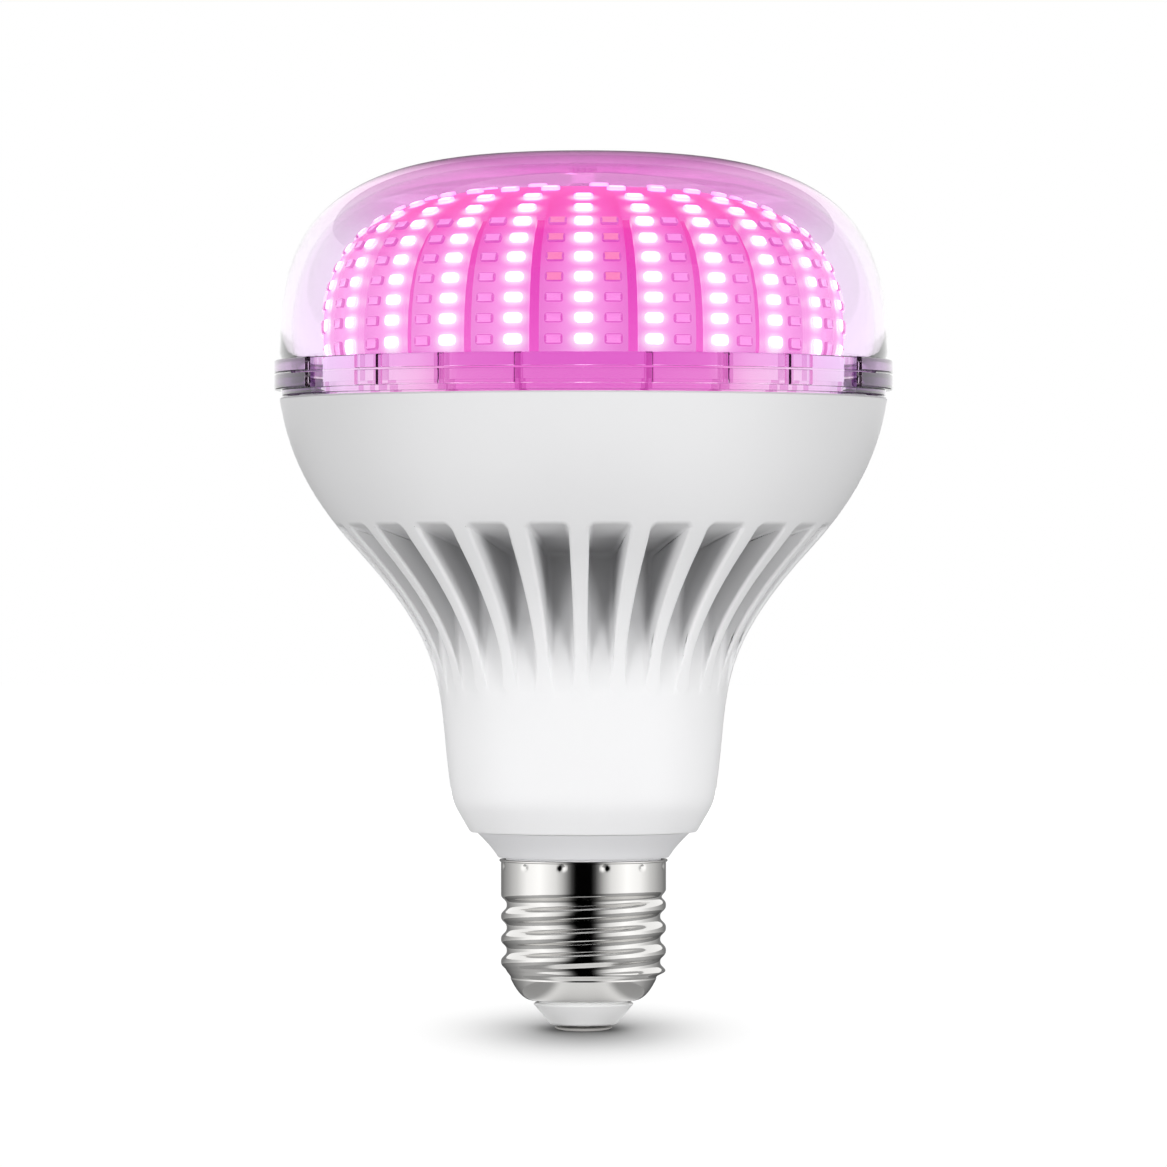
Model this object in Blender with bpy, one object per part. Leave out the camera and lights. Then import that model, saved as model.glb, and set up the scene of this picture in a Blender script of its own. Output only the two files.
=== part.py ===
"""Grow light bulb: a screw-base lamp with a flared, ribbed plastic housing, a domed board of small
lights on folded petals, and a clear domed cover.

Units are metres and +Z points up. The origin is the tip of the centre contact, and the bulb stands
on its own axis. Angles around the axis are counted in degrees from the front (-Y) towards +X.
"""

import math

import bmesh
import bpy
from mathutils import Vector

MM = 0.001

# Clearance left wherever one piece seats on, or passes through, another
GAP = 0.3 * MM

# How far a cutter reaches beyond the surface that it cuts
OVERRUN = 1.0 * MM

# Centre contact
CONTACT_HEIGHT = 0.95 * MM
CONTACT_RADIUS = 4.6 * MM
CONTACT_FLAT_RADIUS = 2.2 * MM
CONTACT_STEM_RADIUS = 1.2 * MM
CONTACT_STEM_LENGTH = 3.2 * MM

# Insulator between the contact and the screw shell
INSULATOR_TAPER = 2.25 * MM
INSULATOR_FOOT_EDGE = 0.4 * MM
INSULATOR_EDGE_INSET = 0.1 * MM
INSULATOR_HEIGHT = 3.6 * MM
INSULATOR_FLANGE_GRIP = 0.8 * MM
INSULATOR_FLANGE_THICKNESS = 1.4 * MM

# Screw shell, a standard 27 mm lamp thread
SHELL_HEIGHT = 22.5 * MM
SHELL_WALL = 0.5 * MM
SHELL_BAND_HEIGHT = 4.8 * MM
SHELL_LIP_WIDTH = 0.25 * MM
SHELL_LIP_HEIGHT = 0.4 * MM
THREAD_PITCH = 3.62 * MM
THREAD_CREST_RADIUS = 13.15 * MM
THREAD_DEPTH = 0.91 * MM
THREAD_PHASE_HEIGHT = 11.9 * MM
THREAD_RUN_OUT = 1.6 * MM
SHELL_BEAD_INSET = 1.55 * MM
SHELL_CONE_HEIGHT = 3.65 * MM
SHELL_TURN_HEIGHT = 2.75 * MM
SHELL_TURN_STEPS = 4
SHELL_TURN_WIDTH = 3.5 * MM
SHELL_END_WIDTH = 0.7 * MM
SHELL_SIDES = 24

# Driver cup, whose cone shows between the housing and the screw shell
CUP_WALL = 1.4 * MM
CUP_NOSE_WALL = 1.5 * MM
CUP_CONE_OVERHANG = 0.55 * MM
CUP_NECK_INSET = 1.6 * MM
CUP_CONE_HEIGHT = 4.05 * MM
CUP_CONE_PULL = (1.3 * MM, 1.3 * MM)
CUP_NECK_PULL = (0.3 * MM, 1.2 * MM)
CUP_LEDGE_INSET = 3.2 * MM

# Housing: outline, wall and rim
HOUSING_HEIGHT = 69.1 * MM
HOUSING_RIM_RADIUS = 48.4 * MM
HOUSING_RIM_WALL = 2.5 * MM
HOUSING_FLARE_INSET = 12.4 * MM
HOUSING_FLARE_DEPTH = 24.25 * MM
HOUSING_NECK_RADIUS = 21.15 * MM
HOUSING_NECK_HEIGHT = 6.85 * MM
HOUSING_TURN_INSET = 1.05 * MM
HOUSING_TURN_HEIGHT = 3.5 * MM
HOUSING_FOOT_INSET = 2.95 * MM
HOUSING_WALL = 1.9 * MM
HOUSING_NECK_WALL = 1.75 * MM
HOUSING_SEAT_DEPTH = 5.05 * MM
HOUSING_SEAT_WIDTH = 2.4 * MM
HOUSING_SHOULDER_HEIGHT = 5.3 * MM
HOUSING_BORE_TAPER = 3.0 * MM

# How far the housing's outline is pulled at its joints, as shares of the height of each curve
RIM_PULL = (-0.0507, -0.367)
FLARE_PULL_UP = 0.3324
FLARE_PULL_DOWN = 0.4421
NECK_PULL_UP = (0.06, 0.3974)
NECK_PULL_DOWN = (-0.06, -0.418)
TURN_PULL_UP = (0.179, 0.328)

# How far the flare is pulled inwards, as a share of its overhang beyond the neck
FLARE_PULL_ACROSS = 1.041

# Ribs and the channels between them
RIB_COUNT = 25
RIB_WIDTH_DEG = 4.87
RIB_FIRST_DEG = -1.03
CHANNEL_TOP_DEPTH = 20.25 * MM
CHANNEL_TAIL_DEPTH = 46.75 * MM
CORE_WALL = 2.3 * MM
CHANNEL_ROOF_SLOPE_DEG = 17.0
CHANNEL_RUN_OUT = 3.0 * MM
CUP_FLOOR_THICKNESS = 2.0 * MM

# Heat spreader and its screws
SPREADER_THICKNESS = 1.5 * MM
SPREADER_WIRE_HOLE_RADIUS = 5.0 * MM
SPREADER_SCREW_COUNT = 3
SPREADER_SCREW_INSET = 11.9 * MM
SPREADER_SCREW_FIRST_DEG = 30.0
BOSS_RADIUS = 3.2 * MM
SCREW_RADIUS = 1.4 * MM
SCREW_LENGTH = 9.0 * MM
SCREW_HEAD_RADIUS = 2.8 * MM
SCREW_HEAD_HEIGHT = 1.5 * MM
SCREW_TIP_HEIGHT = 0.8 * MM
SCREW_TIP_SHARE = 0.6
SCREW_CROWN_SHARE = 0.72
SCREW_EDGE_SHARE = 0.55

# Former that carries the board of lights
FORMER_FOOT_THICKNESS = 1.2 * MM
FORMER_WALL = 1.6 * MM
FORMER_SHOULDER_HEIGHT = 9.6 * MM
FORMER_WIRE_HOLE_RADIUS = 1.6 * MM
FORMER_WIRE_OFFSET = 6.5 * MM
BOARD_SCREW_LENGTH = 7.0 * MM

# Board of lights, folded down in petals
BOARD_THICKNESS = 1.0 * MM
BOARD_SIDE_ROOM = 5.06 * MM
BOARD_HEADROOM = 2.9 * MM
BOARD_EQUATOR_DROP = 2.7 * MM
BOARD_ROUNDNESS = 3.2
COLUMN_PAIR_WIDTH = 8.3 * MM
SLOT_DEG = 2.4
ROW_FIRST_HEIGHT = 2.15 * MM
ROW_PITCH = 3.11 * MM
CROWN_HEIGHT = 5.0 * MM
CROWN_RING_WIDTHS = (1.88 * MM, 3.9 * MM, 5.1 * MM, 6.25 * MM)
LIGHT_WIDTH = 3.0 * MM
LIGHT_HEIGHT = 1.4 * MM
LIGHT_RISE = 0.8 * MM
LIGHT_MARGIN = 0.2 * MM

# Clear cover and the clear ring that it stands on
RING_NECK_INSET = 0.26 * MM
RING_NECK_HEIGHT = 0.9 * MM
COLLAR_OVERHANG = 0.93 * MM
RING_COLLAR_HEIGHT = 2.35 * MM
RING_WALL = 1.6 * MM
DOME_COLLAR_HEIGHT = 2.1 * MM
DOME_NECK_HEIGHT = 1.05 * MM
DOME_NECK_INSET = 0.15 * MM
DOME_INSET = 0.87 * MM
DOME_RISE = 31.95 * MM
DOME_ROUNDNESS = 3.05
DOME_DRAFT = 0.03
DOME_WALL = 1.8 * MM
COLLAR_SIDES = 36
GROOVE_ANGLES_DEG = (11.8, 26.5, 40.0)
GROOVE_WIDTH_DEG = 1.2
GROOVE_DEPTH = 0.6 * MM
RECESS_START_DEG = 46.0
RECESS_END_DEG = 62.0
RECESS_DEPTH = 1.0 * MM
TIER_OVERRUN = 0.1 * MM

# Driver board
PCB_SIDE_ROOM = 1.2 * MM
PCB_HEADROOM = 8.75 * MM
PCB_THICKNESS = 1.6 * MM
PCB_SET_BACK = 2.5 * MM
RAIL_WIDTH = 1.2 * MM
RAIL_GRIP = 1.6 * MM
RAIL_HEADROOM = 14.0 * MM

# Blocks on the driver board: place and width as shares of its width, height above its lower edge
# and own height as shares of its length, and how far the block stands out
FILM_CAPACITOR = (0.227, 0.09, 0.364, 0.22, 7.0 * MM)
BRIDGE_RECTIFIER = (0.227, 0.37, 0.212, 0.10, 3.0 * MM)
DRIVER_CHIP = (0.0, 0.40, 0.182, 0.10, 1.6 * MM)
TRANSFORMER = (0.0, 0.54, 0.515, 0.27, 7.0 * MM)
WINDING = (0.0, 0.58, 0.333, 0.19, 11.5 * MM)
BLOCK_EDGE = 0.5 * MM

# Round ones on it: place and radius as shares of its width, height above its lower edge as a share
# of its length, and the length of an upright one as such a share, or how far a lying one stands out
BULK_CAPACITOR = (-0.227, 0.07, 0.191, 0.40)
FUSIBLE_RESISTOR = (0.182, 0.08, 0.0576, 0.18)
OUTPUT_CAPACITOR = (-0.242, 0.92, 0.097, 11.0 * MM)
OUTPUT_INDUCTOR = (0.212, 0.92, 0.097, 7.0 * MM)
CAN_EDGE = 0.5 * MM

# Wires
WIRE_RADIUS = 0.6 * MM
WIRE_SPREAD = 3.0 * MM
WIRE_JOINT = 2.5 * MM
NEUTRAL_TAIL = 4.0 * MM
FORMER_WIRE_RISE = 12.0 * MM

# Heights of the main seats, from the tip of the contact upwards
SHELL_BOTTOM = CONTACT_HEIGHT + INSULATOR_HEIGHT + GAP
SHELL_TOP = SHELL_BOTTOM + SHELL_HEIGHT
CONE_BOTTOM = SHELL_TOP + GAP
HOUSING_BOTTOM = CONE_BOTTOM + CUP_CONE_HEIGHT
HOUSING_RIM = HOUSING_BOTTOM + HOUSING_HEIGHT
SPREADER_SEAT = HOUSING_RIM - HOUSING_SEAT_DEPTH
SPREADER_BOTTOM = SPREADER_SEAT + GAP
SPREADER_TOP = SPREADER_BOTTOM + SPREADER_THICKNESS
FORMER_BOTTOM = SPREADER_TOP + GAP
FORMER_FOOT_TOP = FORMER_BOTTOM + FORMER_FOOT_THICKNESS
FORMER_SHOULDER = FORMER_BOTTOM + FORMER_SHOULDER_HEIGHT
BOARD_HEM = FORMER_SHOULDER + GAP
BOARD_EQUATOR = BOARD_HEM - BOARD_EQUATOR_DROP
RING_SPIGOT_BOTTOM = FORMER_FOOT_TOP + GAP
RING_BOTTOM = HOUSING_RIM + GAP
RING_COLLAR_BOTTOM = RING_BOTTOM + RING_NECK_HEIGHT
RING_TOP = RING_COLLAR_BOTTOM + RING_COLLAR_HEIGHT
DOME_BOTTOM = RING_TOP + GAP
DOME_COLLAR_TOP = DOME_BOTTOM + DOME_COLLAR_HEIGHT
DOME_FOOT = DOME_COLLAR_TOP + DOME_NECK_HEIGHT
BOARD_APEX = DOME_FOOT + DOME_RISE - DOME_WALL - BOARD_HEADROOM
BOARD_RISE = BOARD_APEX - BOARD_EQUATOR
ROW_COUNT = 1 + int((BOARD_APEX - CROWN_HEIGHT - BOARD_HEM - ROW_FIRST_HEIGHT) / ROW_PITCH)

# Radii that follow from the rim of the housing
HOUSING_MOUTH_RADIUS = HOUSING_RIM_RADIUS - HOUSING_RIM_WALL
HOUSING_FLARE_RADIUS = HOUSING_RIM_RADIUS - HOUSING_FLARE_INSET
SPREADER_SCREW_CIRCLE = HOUSING_MOUTH_RADIUS - SPREADER_SCREW_INSET
SPIGOT_RADIUS = HOUSING_MOUTH_RADIUS - GAP
RING_NECK_RADIUS = HOUSING_RIM_RADIUS - RING_NECK_INSET
COLLAR_RADIUS = HOUSING_RIM_RADIUS + COLLAR_OVERHANG
DOME_RADIUS = COLLAR_RADIUS - DOME_INSET
BOARD_RADIUS = DOME_RADIUS - DOME_WALL - BOARD_SIDE_ROOM

# Radii that follow from its neck
HOUSING_TURN_RADIUS = HOUSING_NECK_RADIUS - HOUSING_TURN_INSET
HOUSING_FOOT_RADIUS = HOUSING_NECK_RADIUS - HOUSING_FOOT_INSET
HOUSING_BORE_FOOT_RADIUS = HOUSING_NECK_RADIUS - HOUSING_NECK_WALL
HOUSING_BORE_TOP_RADIUS = HOUSING_BORE_FOOT_RADIUS + HOUSING_BORE_TAPER
CORE_TOP_RADIUS = HOUSING_BORE_TOP_RADIUS + CORE_WALL
CUP_NECK_RADIUS = HOUSING_FOOT_RADIUS - CUP_NECK_INSET

# Radii that follow from the crest of the thread
SHELL_BAND_RADIUS = THREAD_CREST_RADIUS
SHELL_LIP_RADIUS = SHELL_BAND_RADIUS + SHELL_LIP_WIDTH
THREAD_ROOT_RADIUS = THREAD_CREST_RADIUS - THREAD_DEPTH
SHELL_BEAD_RADIUS = THREAD_CREST_RADIUS - SHELL_BEAD_INSET
SHELL_END_RADIUS = SHELL_BEAD_RADIUS - SHELL_TURN_WIDTH
SHELL_MOUTH_RADIUS = SHELL_END_RADIUS - SHELL_END_WIDTH
INSULATOR_TOP_RADIUS = SHELL_END_RADIUS - INSULATOR_EDGE_INSET
INSULATOR_FOOT_RADIUS = INSULATOR_TOP_RADIUS - INSULATOR_TAPER
INSULATOR_FLANGE_RADIUS = SHELL_MOUTH_RADIUS + INSULATOR_FLANGE_GRIP
CUP_CONE_RADIUS = SHELL_BAND_RADIUS + CUP_CONE_OVERHANG

# Radii and heights that follow from a neighbour
SHELL_TOP_BORE = SHELL_BAND_RADIUS - SHELL_WALL
SHELL_THREAD_BORE = THREAD_ROOT_RADIUS - SHELL_WALL
NOSE_RADIUS = SHELL_TOP_BORE - GAP
NOSE_BORE = NOSE_RADIUS - CUP_NOSE_WALL
NOSE_BOTTOM = SHELL_TOP - SHELL_BAND_HEIGHT + SHELL_LIP_HEIGHT + GAP
HOUSING_FOOT_BORE = CUP_NECK_RADIUS + GAP
HOUSING_LEDGE = HOUSING_BOTTOM + CUP_WALL
HOUSING_SHOULDER = HOUSING_BOTTOM + HOUSING_SHOULDER_HEIGHT
SCREW_HOLE_RADIUS = SCREW_RADIUS + GAP


def smooth_step(value):
    """0 below 0, 1 above 1, and an even S-curve between them."""
    value = min(max(value, 0.0), 1.0)
    return value * value * (3.0 - 2.0 * value)


def place(radius, angle_deg, height):
    """The point at this radius and height, at an angle counted from the front towards +X."""
    angle = math.radians(angle_deg)
    return Vector((radius * math.sin(angle), -radius * math.cos(angle), height))


def bezier(start, pull_start, pull_end, end, steps):
    """Points of a cubic curve, without its first one."""
    points = []
    for step in range(1, steps + 1):
        t = step / steps
        weights = ((1 - t) ** 3, 3 * t * (1 - t) ** 2, 3 * t * t * (1 - t), t**3)
        corners = (start, pull_start, pull_end, end)
        points.append(tuple(sum(w * c[axis] for w, c in zip(weights, corners)) for axis in (0, 1)))
    return points


def pulled(point, pull, share=1.0):
    """The point moved across and upwards by the pull, or by a share of it."""
    return (point[0] + share * pull[0], point[1] + share * pull[1])


def dome_radius(share, roundness):
    """Radius of a rounded dome at this share of its height, as a share of its foot radius."""
    return max(1.0 - share**roundness, 0.0) ** (1.0 / roundness)


def make_material(name, colour, roughness, metallic=0.0, transmission=0.0, emission=0.0):
    material = bpy.data.materials.new(name)
    material.use_nodes = True
    shader = material.node_tree.nodes["Principled BSDF"]
    shader.inputs["Base Color"].default_value = (*colour, 1.0)
    shader.inputs["Roughness"].default_value = roughness
    shader.inputs["Metallic"].default_value = metallic
    shader.inputs["Transmission Weight"].default_value = transmission
    shader.inputs["Emission Color"].default_value = (*colour, 1.0)
    shader.inputs["Emission Strength"].default_value = emission
    material.diffuse_color = (*colour, 1.0)
    return material


def make_object(name, bm, material=None, sharp_deg=35.0):
    """Turns the mesh into a named object, shaded smooth up to the given edge angle."""
    bmesh.ops.recalc_face_normals(bm, faces=bm.faces)
    mesh = bpy.data.meshes.new(name)
    bm.to_mesh(mesh)
    bm.free()
    mesh.shade_smooth()
    mesh.set_sharp_from_angle(angle=math.radians(sharp_deg))
    if material:
        mesh.materials.append(material)
    obj = bpy.data.objects.new(name, mesh)
    bpy.context.scene.collection.objects.link(obj)
    return obj


def revolved(profile, sides, turn_deg=0.0):
    """Spins a closed outline of (radius, height) points once round the axis."""
    bm = bmesh.new()
    corners = [bm.verts.new(place(radius, turn_deg, height)) for radius, height in profile]
    edges = [bm.edges.new((a, b)) for a, b in zip(corners, corners[1:] + corners[:1])]
    bmesh.ops.spin(
        bm,
        geom=corners + edges,
        cent=(0, 0, 0),
        axis=(0, 0, 1),
        angle=math.tau,
        steps=sides,
        use_merge=True,
    )
    bmesh.ops.remove_doubles(bm, verts=bm.verts, dist=0.001 * MM)
    loose = [edge for edge in bm.edges if not edge.link_faces]
    bmesh.ops.delete(bm, geom=loose, context="EDGES")
    return bm


def add_column(bm, x, y, radius, bottom, top, sides=12):
    """Adds an upright round bar. Its bottom height may be a function of the distance to the axis."""
    low, high = [], []
    for side in range(sides):
        angle = math.tau * side / sides
        corner = Vector((x + radius * math.cos(angle), y + radius * math.sin(angle), top))
        high.append(bm.verts.new(corner))
        corner.z = bottom(corner.xy.length) if callable(bottom) else bottom
        low.append(bm.verts.new(corner))
    bm.faces.new(high)
    bm.faces.new(low[::-1])
    for side in range(sides):
        after = (side + 1) % sides
        bm.faces.new((low[side], low[after], high[after], high[side]))


def add_box(bm, low, high, top_x=None):
    """Adds a box between two corners. top_x gives other X limits at its top, for a tapered one."""
    corners = {}
    for at_top, z in enumerate((low[2], high[2])):
        x_limits = top_x if at_top and top_x else (low[0], high[0])
        for far_x, x in enumerate(x_limits):
            for far_y, y in enumerate((low[1], high[1])):
                corners[far_x, far_y, at_top] = bm.verts.new((x, y, z))
    for axis in range(3):
        first, second = [other for other in range(3) if other != axis]
        for side in (0, 1):
            loop = []
            for a, b in ((0, 0), (1, 0), (1, 1), (0, 1)):
                key = [side] * 3
                key[first], key[second] = a, b
                loop.append(corners[tuple(key)])
            faces_in = (side == 0) != (axis == 1)
            bm.faces.new(loop[::-1] if faces_in else loop)


def add_sector(bm, inner, outer, start_deg, end_deg, bottom, top, steps):
    """Adds a piece of a ring between two radii, two angles and two heights."""
    sections = []
    for step in range(steps + 1):
        angle = start_deg + (end_deg - start_deg) * step / steps
        outline = ((inner, bottom), (outer, bottom), (outer, top), (inner, top))
        sections.append([bm.verts.new(place(radius, angle, height)) for radius, height in outline])
    bm.faces.new(sections[0])
    bm.faces.new(sections[-1][::-1])
    for before, after in zip(sections, sections[1:]):
        for corner in range(4):
            beside = (corner + 1) % 4
            bm.faces.new((before[corner], before[beside], after[beside], after[corner]))


def combine(target, cutter_name, bm, operation):
    """Cuts the mesh out of the target, or joins it on, through a hidden helper object."""
    helper = make_object(cutter_name, bm)
    helper.hide_render = True
    helper.display_type = "WIRE"
    modifier = target.modifiers.new(cutter_name, "BOOLEAN")
    modifier.operation = operation
    modifier.solver = "EXACT"
    modifier.object = helper


def make_wire(name, points, material):
    """A round wire along a smooth curve through the points, with closed ends."""
    curve = bpy.data.curves.new(name, "CURVE")
    curve.dimensions = "3D"
    curve.bevel_depth = WIRE_RADIUS
    curve.bevel_resolution = 1
    curve.use_fill_caps = True
    spline = curve.splines.new("POLY")
    path = []
    ends = [points[0] * 2 - points[1]] + list(points) + [points[-1] * 2 - points[-2]]
    for before, start, end, after in zip(ends, ends[1:], ends[2:], ends[3:]):
        for step in range(2):
            t = step / 2
            swing = (end - before) / 2, (after - start) / 2
            path.append(
                start * (2 * t**3 - 3 * t**2 + 1)
                + end * (3 * t**2 - 2 * t**3)
                + swing[0] * (t**3 - 2 * t**2 + t)
                + swing[1] * (t**3 - t**2)
            )
    path.append(points[-1])
    spline.points.add(len(path) - 1)
    for point, position in zip(spline.points, path):
        point.co = (*position, 1.0)
    curve.materials.append(material)
    obj = bpy.data.objects.new(name, curve)
    bpy.context.scene.collection.objects.link(obj)
    return obj


def housing_outline():
    """The outside of the housing from its rim down to its foot."""
    rim = (HOUSING_RIM_RADIUS, HOUSING_RIM)
    flare = (HOUSING_FLARE_RADIUS, HOUSING_RIM - HOUSING_FLARE_DEPTH)
    neck = (HOUSING_NECK_RADIUS, HOUSING_BOTTOM + HOUSING_NECK_HEIGHT)
    turn = (HOUSING_TURN_RADIUS, HOUSING_BOTTOM + HOUSING_TURN_HEIGHT)
    bowl, taper, fold = rim[1] - flare[1], flare[1] - neck[1], neck[1] - turn[1]
    down = FLARE_PULL_DOWN * taper
    slope = FLARE_PULL_ACROSS * (flare[0] - neck[0]) / down
    up = FLARE_PULL_UP * bowl
    points = [rim]
    points += bezier(rim, pulled(rim, RIM_PULL, bowl), pulled(flare, (slope, 1), up), flare, 5)
    points += bezier(
        flare, pulled(flare, (slope, 1), -down), pulled(neck, NECK_PULL_UP, taper), neck, 6
    )
    points += bezier(
        neck, pulled(neck, NECK_PULL_DOWN, fold), pulled(turn, TURN_PULL_UP, fold), turn, 2
    )
    points.append((HOUSING_FOOT_RADIUS, HOUSING_BOTTOM))
    return points


OUTLINE = housing_outline()


def outline_radius(height):
    """Radius of the housing's outside at this height."""
    for (upper_radius, upper), (lower_radius, lower) in zip(OUTLINE, OUTLINE[1:]):
        if lower <= height <= upper:
            share = (height - lower) / (upper - lower)
            return lower_radius + share * (upper_radius - lower_radius)
    return HOUSING_RIM_RADIUS


CHANNEL_TOP = HOUSING_RIM - CHANNEL_TOP_DEPTH
CHANNEL_TAIL = HOUSING_RIM - CHANNEL_TAIL_DEPTH
ROOF_SLOPE = math.tan(math.radians(CHANNEL_ROOF_SLOPE_DEG))


def roof_height(radius):
    """Height of the channels' sloping roof."""
    return CHANNEL_TOP - (outline_radius(CHANNEL_TOP) - radius) * ROOF_SLOPE


def floor_height(radius):
    """Height of the floor inside the housing, above the channels' roof."""
    return roof_height(radius) + CUP_FLOOR_THICKNESS * math.hypot(1.0, ROOF_SLOPE)


def bore_radius(height):
    """Radius of the bore through the housing's core, which widens upwards and then runs straight."""
    bore_top = floor_height(HOUSING_BORE_TOP_RADIUS)
    share = min(max((height - HOUSING_SHOULDER) / (bore_top - HOUSING_SHOULDER), 0.0), 1.0)
    return HOUSING_BORE_FOOT_RADIUS + share * (HOUSING_BORE_TOP_RADIUS - HOUSING_BORE_FOOT_RADIUS)


def cup_bowl_inside():
    """Inside of the housing's bowl: its outline moved in by the wall, down to the sloping floor."""
    moved = []
    for before, here, after in zip(OUTLINE, OUTLINE[1:], OUTLINE[2:]):
        along = Vector((after[0] - before[0], after[1] - before[1])).normalized()
        inside = Vector(here) + Vector((along.y, -along.x)) * HOUSING_WALL
        moved.append((inside.x, inside.y))
    seat_bottom = SPREADER_SEAT - HOUSING_SEAT_WIDTH
    wall = [point for point in moved if point[1] < seat_bottom and point[1] > floor_height(point[0])]
    below = [point for point in moved if point[1] < floor_height(point[0])][0]
    high, low = wall[-1], below
    excess = high[1] - floor_height(high[0])
    lack = floor_height(low[0]) - low[1]
    share = excess / (excess + lack)
    foot = high[0] + share * (low[0] - high[0])
    return wall + [(foot, floor_height(foot))]


def make_housing():
    bowl = cup_bowl_inside()
    seat_inner = HOUSING_MOUTH_RADIUS - HOUSING_SEAT_WIDTH
    inside = [
        (HOUSING_FOOT_BORE, HOUSING_BOTTOM),
        (HOUSING_FOOT_BORE, HOUSING_LEDGE),
        (HOUSING_BORE_FOOT_RADIUS, HOUSING_SHOULDER),
        (HOUSING_BORE_TOP_RADIUS, floor_height(HOUSING_BORE_TOP_RADIUS)),
    ]
    inside += bowl[::-1]
    inside += [
        (seat_inner, SPREADER_SEAT - HOUSING_SEAT_WIDTH / 2),
        (seat_inner, SPREADER_SEAT),
        (HOUSING_MOUTH_RADIUS, SPREADER_SEAT),
        (HOUSING_MOUTH_RADIUS, HOUSING_RIM),
    ]
    plastic = make_material("white_housing_plastic", (0.86, 0.86, 0.87), 0.45)
    housing = make_object("housing", revolved(OUTLINE + inside, 2 * RIB_COUNT, RIB_FIRST_DEG), plastic)

    bosses = bmesh.new()
    holes = bmesh.new()
    for x, y in screw_places():
        add_column(
            bosses,
            x,
            y,
            BOSS_RADIUS,
            lambda radius: (roof_height(radius) + floor_height(radius)) / 2,
            SPREADER_SEAT,
        )
        hole_bottom = SPREADER_BOTTOM - SCREW_LENGTH
        add_column(holes, x, y, SCREW_HOLE_RADIUS, hole_bottom, SPREADER_SEAT + OVERRUN, 8)
    combine(housing, "screw_bosses", bosses, "UNION")
    combine(housing, "screw_holes", holes, "DIFFERENCE")
    combine(housing, "channels", channel_cutters(), "DIFFERENCE")


def channel_cutters():
    """One wedge for each channel: walls that point at the axis, a sloping roof and a tapered core."""
    bm = bmesh.new()
    pitch = 360.0 / RIB_COUNT
    tail_radius = outline_radius(CHANNEL_TAIL)
    core_top = roof_height(CORE_TOP_RADIUS)
    taper = (CORE_TOP_RADIUS - tail_radius) / (core_top - CHANNEL_TAIL)
    foot = CHANNEL_TAIL - CHANNEL_RUN_OUT
    reach = HOUSING_RIM_RADIUS
    outline = (
        (tail_radius - taper * CHANNEL_RUN_OUT, foot),
        (CORE_TOP_RADIUS, core_top),
        (reach, roof_height(reach)),
        (reach, foot),
    )
    for rib in range(RIB_COUNT):
        start = RIB_FIRST_DEG + rib * pitch + RIB_WIDTH_DEG / 2
        end = start + pitch - RIB_WIDTH_DEG
        sides = [[bm.verts.new(place(r, angle, z)) for r, z in outline] for angle in (start, end)]
        bm.faces.new(sides[0])
        bm.faces.new(sides[1][::-1])
        for corner in range(4):
            beside = (corner + 1) % 4
            bm.faces.new((sides[0][corner], sides[0][beside], sides[1][beside], sides[1][corner]))
    return bm


def screw_places():
    """Where the heat spreader's screws stand, as X and Y."""
    places = []
    for screw in range(SPREADER_SCREW_COUNT):
        angle = SPREADER_SCREW_FIRST_DEG + 360.0 * screw / SPREADER_SCREW_COUNT
        places.append(place(SPREADER_SCREW_CIRCLE, angle, 0)[:2])
    return places


def make_centre_contact():
    nickel = make_material("contact_metal", (0.74, 0.73, 0.70), 0.25, 1.0)
    crown = [
        (0.0, 0.0),
        (CONTACT_FLAT_RADIUS, 0.0),
        ((CONTACT_RADIUS + CONTACT_FLAT_RADIUS) / 2, 0.12 * CONTACT_HEIGHT),
        (CONTACT_RADIUS, 0.5 * CONTACT_HEIGHT),
        (CONTACT_RADIUS, CONTACT_HEIGHT - GAP),
        (CONTACT_STEM_RADIUS, CONTACT_HEIGHT - GAP),
        (CONTACT_STEM_RADIUS, CONTACT_HEIGHT + CONTACT_STEM_LENGTH),
        (0.0, CONTACT_HEIGHT + CONTACT_STEM_LENGTH),
    ]
    make_object("centre_contact", revolved(crown, 18), nickel)


def make_base_insulator():
    ceramic = make_material("white_insulator", (0.9, 0.9, 0.89), 0.3)
    top = CONTACT_HEIGHT + INSULATOR_HEIGHT
    waist = SHELL_MOUTH_RADIUS - GAP
    flange_bottom = SHELL_BOTTOM + SHELL_WALL + GAP
    hole = CONTACT_STEM_RADIUS + GAP
    outline = [
        (hole, CONTACT_HEIGHT),
        (INSULATOR_FOOT_RADIUS - INSULATOR_FOOT_EDGE, CONTACT_HEIGHT),
        (INSULATOR_FOOT_RADIUS, CONTACT_HEIGHT + INSULATOR_FOOT_EDGE),
        (INSULATOR_TOP_RADIUS, top),
        (waist, top),
        (waist, flange_bottom),
        (INSULATOR_FLANGE_RADIUS, flange_bottom),
        (INSULATOR_FLANGE_RADIUS, flange_bottom + INSULATOR_FLANGE_THICKNESS),
        (hole, flange_bottom + INSULATOR_FLANGE_THICKNESS),
    ]
    make_object("base_insulator", revolved(outline, 20), ceramic)


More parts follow.
